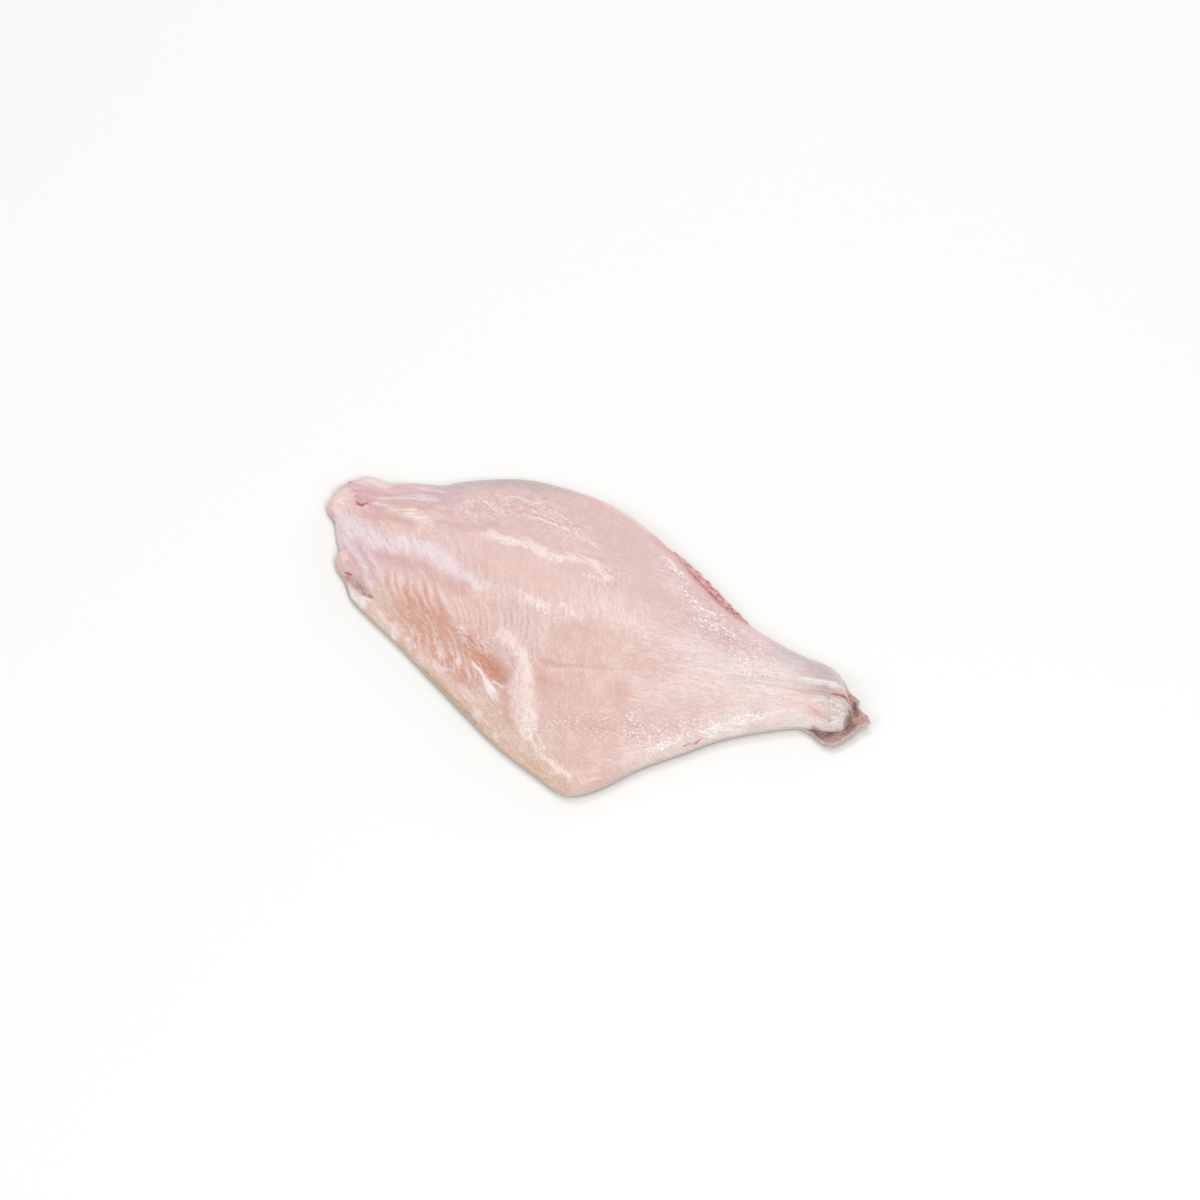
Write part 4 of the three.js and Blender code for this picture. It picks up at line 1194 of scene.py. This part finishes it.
def skin_material(tints):
    """Wet skin: taupe and olive clouds, fine dark marks, a lateral line, a round spot, silver places."""
    g = Graph("wet_skin")
    place = g.place()
    bent = g.wander(place, 18 * MM, 9 * MM)
    cloud = g.noise(bent, 20 * MM, 4, 0.62)
    mottle = g.noise(bent, 5 * MM, 5, 0.68)
    marks = g.noise(bent, 1.5 * MM, 3, 0.6, math.radians(8), 3)
    fine = g.noise(place, 0.9 * MM, 4, 0.65)
    grains = g.cells(place, 0.8 * MM)
    olive = g.steps(cloud * 1.1 + mottle * 0.5 + g.field("golden") * 0.3, 0.7, 1.2)
    below = g.blend(tints.skin_taupe, tints.skin_olive, olive * 0.85)
    below = g.blend(below, tints.skin_light, g.steps(mottle + (marks - 0.5) * 0.5, 0.46, 0.74) * 0.75)
    silver = g.steps(g.field("silver") * 0.9 + (cloud - 0.5) * 1.2 + (mottle - 0.5) * 0.9, 0.3, 1.05)
    below = g.blend(below, tints.skin_silver, silver * 0.75)
    below = g.blend(below, tints.skin_dark, g.steps(mottle * 0.6 + marks * 0.4, 0.46, 0.32) * 0.65)
    halo = g.steps(g.field("halo") + (mottle - 0.5) * 1.0, 0.2, 1.0)
    below = g.blend(below, tints.skin_silver, halo * 0.5)
    spot = g.steps(g.field("spot") + (marks - 0.5) * 0.8, 0.25, 0.85)
    below = g.blend(below, tints.skin_dark, spot * 0.9)
    lateral = g.field("lateral")
    below = g.blend(below, tints.skin_dark, g.steps(lateral + (marks - 0.5) * 1.1, 0.25, 1.05) * 0.8)
    below = g.blend(below, tints.skin_dark, g.steps(marks, 0.58, 0.74) * 0.4)
    below = g.blend(below, tints.skin_dark, g.steps(grains, 0.28, 0.12) * 0.3)
    wet = g.steps(fine, 0.6, 0.72) * (0.2 + g.field("scales") * 0.6)
    below = g.blend(below, tints.skin_silver, wet)

    inside = g.blend(tints.tab_inside, tints.tab_shade_and_mottle, g.steps(mottle, 0.52, 0.34) * 0.6)
    # Painted shadow that the knob casts along the tab's root
    root = g.steps(g.field("root") + (mottle - 0.5) * 0.7, 0.3, 0.95)
    inside = g.blend(inside, tints.tab_shade_and_mottle, root * 0.85)
    # Painted shadow round the knob's end
    inside = g.blend(inside, tints.plum, g.field("plum") * 0.7)
    inside = g.blend(inside, tints.pale, g.steps(g.field("hem") + (mottle - 0.5) * 1.2, 0.4, 1.1) * 0.4)
    # Painted highlights: white glints on the tab's inner side
    inside = g.blend(inside, tints.glint, g.steps(fine, 0.6, 0.7) * 0.45)
    inside = g.blend(inside, tints.tab_shade_and_mottle, g.steps(fine, 0.44, 0.3) * 0.6)
    edge = g.blend(tints.flesh, tints.beige, g.field("flap"))
    above = g.blend(inside, edge, g.field("cut"))
    side = g.field("side")
    lowest = g.steps(side, 0.55, 0.7) * g.field("green") + g.steps(side, 0.8, 1.0)
    base = g.blend(above, tints.rim_green, lowest)
    base = g.blend(base, below, g.steps(side, 0.3, 0.45) * g.field("far"))
    base = g.blend(base, below, g.steps(side, 0.95, 1.0))
    rough = 0.38 + (fine - 0.5) * 0.4
    return g.finish(
        {
            "Base Color": base, "Roughness": rough, "IOR": 1.38, "Coat Weight": 0.35, "Coat Roughness": 0.12,
            "Coat IOR": 1.34,
        },
        grains * 0.35 + fine * 0.6 + mottle * 0.8 + lateral * 0.6, 0.4 * MM,
    )


def fin_material(tints):
    """Red muscle: pink with dark red blots that crowd towards its outer edge and its tail end."""
    g = Graph("red_muscle")
    place = g.place()
    fibre = g.noise(place, 0.8 * MM, 3, 0.65, math.radians(-38), 3)
    blot = g.noise(place, 2.2 * MM, 3, 0.6)
    mask = g.steps(blot + fibre * 0.4 + g.field("outer") * 0.12 + g.field("toward_tail") * 0.14, 0.78, 0.98)
    base = g.blend(tints.fin_pink, tints.fin_red, mask * 0.85)
    # Painted highlights: white glints along the fibres
    base = g.blend(base, tints.glint, g.steps(fibre, 0.62, 0.74) * 0.4)
    return g.finish(
        {
            "Base Color": base, "Roughness": 0.3 + (fibre - 0.5) * 0.2, "IOR": 1.38,
            "Subsurface Weight": 0.3, "Subsurface Radius": (1.0, 0.3, 0.25), "Subsurface Scale": 2 * MM,
            "Coat Weight": 0.4, "Coat Roughness": 0.12, "Coat IOR": 1.34,
        },
        fibre * 0.6 + blot * 0.6, 0.4 * MM,
    )


def floor_material(stage):
    """Matt pale floor with a hardly visible unevenness."""
    g = Graph("pale_floor")
    cloud = g.noise(g.place(), 0.4, 2, 0.5)
    shade = g.blend(stage.floor_colour, (0.93, 0.93, 0.93), cloud * 0.1)
    return g.finish({"Base Color": shade, "Roughness": 0.9, "Specular IOR Level": 0.1}, cloud, 0.01 * MM)


def dress(piece, material, node):
    """Gives a piece its material, puts it on its body and lets it stand for its solid."""
    piece.data.materials.append(material)
    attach(piece, "root")
    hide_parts(node)


# ---- Operators --------------------------------------------------------------


class FILLET_OT_flesh(bpy.types.Operator):
    """Make the cut flesh"""

    bl_idname = "fillet.flesh"
    bl_label = "Flesh"

    def execute(self, context):
        sizes = context.scene.fillet_sizes
        edges = flesh_edges()
        x, y, u, v = plan_grid(edges, sizes.along, sizes.across, FLESH_RIM)
        base = skin_base(x, y, skin_edges(sizes), sizes) + (sizes.skin_thick + sizes.gap) / MM
        fin = smooth_step(FIN["from"] - 0.01, FIN["from"], u) * smooth_step(FIN["to"] + 0.01, FIN["to"], u)
        fin = np.where(v > 0.5, fin, 0)
        foot = mix(sizes.rim_foot / MM, FIN["foot"], fin)
        top = flesh_top(x, y, u, v, edges, base, foot, sizes)
        base -= (sizes.gap - sizes.seat) / MM
        bulge = sizes.rim_bulge / MM * (1 - fin)
        fields = flesh_fields(x, y, edges)
        piece = slab("cut_flesh", x, y, top, base, fields, step=8, bulge=bulge, turn=0.5, rings=4)
        dress(piece, flesh_material(context.scene.fillet_colours), "flesh")
        return {"FINISHED"}


class FILLET_OT_skin(bpy.types.Operator):
    """Make the skin, which runs on past the tail as a ragged tab"""

    bl_idname = "fillet.skin"
    bl_label = "Skin"

    def execute(self, context):
        sizes = context.scene.fillet_sizes
        edges = skin_edges(sizes)
        x, y, _, v = plan_grid(edges, *SKIN_LINES, SKIN_RIM)
        low = skin_base(x, y, edges, sizes)
        rim = rim_distance(x, y, edges)
        shift_x, shift_y = soft_shift(x, y, 2.0, 9, SEEDS["skin"], 4)
        fields = {
            name: painted(x + shift_x, y + shift_y, strokes) for name, strokes in SKIN_STROKES.items()
        }
        fields["golden"] = 1 - smooth_step(0, 26, rim)
        fields["hem"] = 1 - smooth_step(0, 2.6, rim)
        fields["cut"] = smooth_step(94, 90, x)
        fields["far"] = smooth_step(0.5, 0.9, v)
        piece = slab("fish_skin", x, y, low + sizes.skin_thick / MM, low, fields, bulge=0.12, rings=3)
        dress(piece, skin_material(context.scene.fillet_colours), "skin")
        return {"FINISHED"}


class FILLET_OT_fin_muscle(bpy.types.Operator):
    """Make the red muscle that is left along the back"""

    bl_idname = "fillet.fin_muscle"
    bl_label = "Fin muscle"

    def execute(self, context):
        sizes = context.scene.fillet_sizes
        gap = sizes.gap / MM
        back = flesh_edges()["back"]
        u = np.linspace(0, 1, FIN_LINES[0])[:, None]
        v = np.linspace(0, 1, FIN_LINES[1])[None, :]
        share = mix(FIN["from"], FIN["to"], mix(0.02, 0.98, u[:, 0]))
        t = np.linspace(0, 1, EDGE_SAMPLES)
        near = back.offset(lambda s: sizes.seat / MM, 1)
        far = back.offset(lambda s: gap + fin_width(s), 1)
        inner = np.stack([np.interp(share, t, near[:, k]) for k in (0, 1)], -1)
        outer = np.stack([np.interp(share, t, far[:, k]) for k in (0, 1)], -1)
        plan = mix(inner[:, None], outer[:, None], v[..., None])
        x, y = plan[..., 0], plan[..., 1]
        base = skin_base(x, y, skin_edges(sizes), sizes) + (sizes.skin_thick + sizes.gap) / MM
        arch = (1 - v ** 2.4) ** 0.6
        lumps = 1 + 0.18 * np.sin(41 * u) * np.cos(17 * u)
        swell = np.sin(np.pi * mix(0.06, 0.94, u)) ** 0.5
        ragged = 0.25 * layered_noise(x, y, 2, SEEDS["fin"], 3) * np.sin(np.pi * v)
        top = base + np.maximum(FIN["high"] * arch * lumps * swell + ragged, 0.3)
        fields = {"outer": np.broadcast_to(v, x.shape), "toward_tail": np.broadcast_to(u, x.shape)}
        piece = slab("back_muscle", x, y, top, base, fields)
        dress(piece, fin_material(context.scene.fillet_colours), "fin_muscle")
        return {"FINISHED"}


class FILLET_OT_stage(bpy.types.Operator):
    """Make the floor, the lights and the camera"""

    bl_idname = "fillet.stage"
    bl_label = "Stage"

    def execute(self, context):
        scene = context.scene
        stage = scene.fillet_stage
        half = stage.floor_size / 2
        mesh = bpy.data.meshes.new("floor")
        corners = [(-half, -half, 0), (half, -half, 0), (half, half, 0), (-half, half, 0)]
        mesh.from_pydata(corners, [], [(0, 1, 2, 3)])
        floor = bpy.data.objects.new("floor", mesh)
        floor.data.materials.append(floor_material(stage))
        scene.collection.objects.link(floor)

        world = bpy.data.worlds.new("pale_room")
        world.use_nodes = True
        air = world.node_tree.nodes["Background"].inputs
        air["Color"].default_value = (1, 1, 1, 1)
        air["Strength"].default_value = stage.sky
        scene.world = world

        for name, place, size, power in LIGHTS:
            lamp = bpy.data.lights.new(name, "AREA")
            lamp.shape = "RECTANGLE"
            lamp.size, lamp.size_y = size
            lamp.energy = power
            holder = bpy.data.objects.new(name, lamp)
            holder.location = place
            holder.rotation_euler = (-Vector(place)).to_track_quat("-Z", "Y").to_euler()
            scene.collection.objects.link(holder)

        camera = bpy.data.cameras.new("camera")
        camera.lens = stage.lens
        camera.sensor_width = 36
        camera.clip_end = 20
        holder = bpy.data.objects.new("camera", camera)
        a, e = stage.azimuth, stage.elevation
        back = Vector((math.sin(a) * math.cos(e), -math.cos(a) * math.cos(e), math.sin(e)))
        holder.location = Vector(stage.target) + back * stage.distance
        holder.rotation_euler = (-back).to_track_quat("-Z", "Y").to_euler()
        scene.collection.objects.link(holder)
        scene.camera = holder
        scene.view_settings.view_transform = "Standard"
        return {"FINISHED"}


class FILLET_PT_panel(bpy.types.Panel):
    """Buttons for the pieces, and the settings they read"""

    bl_label = "Fillet"
    bl_idname = "FILLET_PT_panel"
    bl_space_type = "VIEW_3D"
    bl_region_type = "UI"
    bl_category = "Fillet"

    def draw(self, context):
        for operator in OPERATORS:
            self.layout.operator(operator.bl_idname)
        for group in GROUPS.values():
            settings = getattr(context.scene, group)
            for key in settings.__annotations__:
                self.layout.prop(settings, key)


OPERATORS = (FILLET_OT_skin, FILLET_OT_flesh, FILLET_OT_fin_muscle, FILLET_OT_stage)
GROUPS = {FilletSizes: "fillet_sizes", FilletColours: "fillet_colours", StageSettings: "fillet_stage"}


def register():
    for cls in (*GROUPS, *OPERATORS, FILLET_PT_panel):
        bpy.utils.register_class(cls)
    for cls, name in GROUPS.items():
        setattr(bpy.types.Scene, name, PointerProperty(type=cls))


def unregister():
    for name in GROUPS.values():
        delattr(bpy.types.Scene, name)
    for cls in (FILLET_PT_panel, *OPERATORS, *GROUPS):
        bpy.utils.unregister_class(cls)


def main():
    register()
    bpy.ops.fillet.skin()
    bpy.ops.fillet.flesh()
    bpy.ops.fillet.fin_muscle()
    bpy.ops.fillet.stage()


if __name__ == "__main__":
    main()
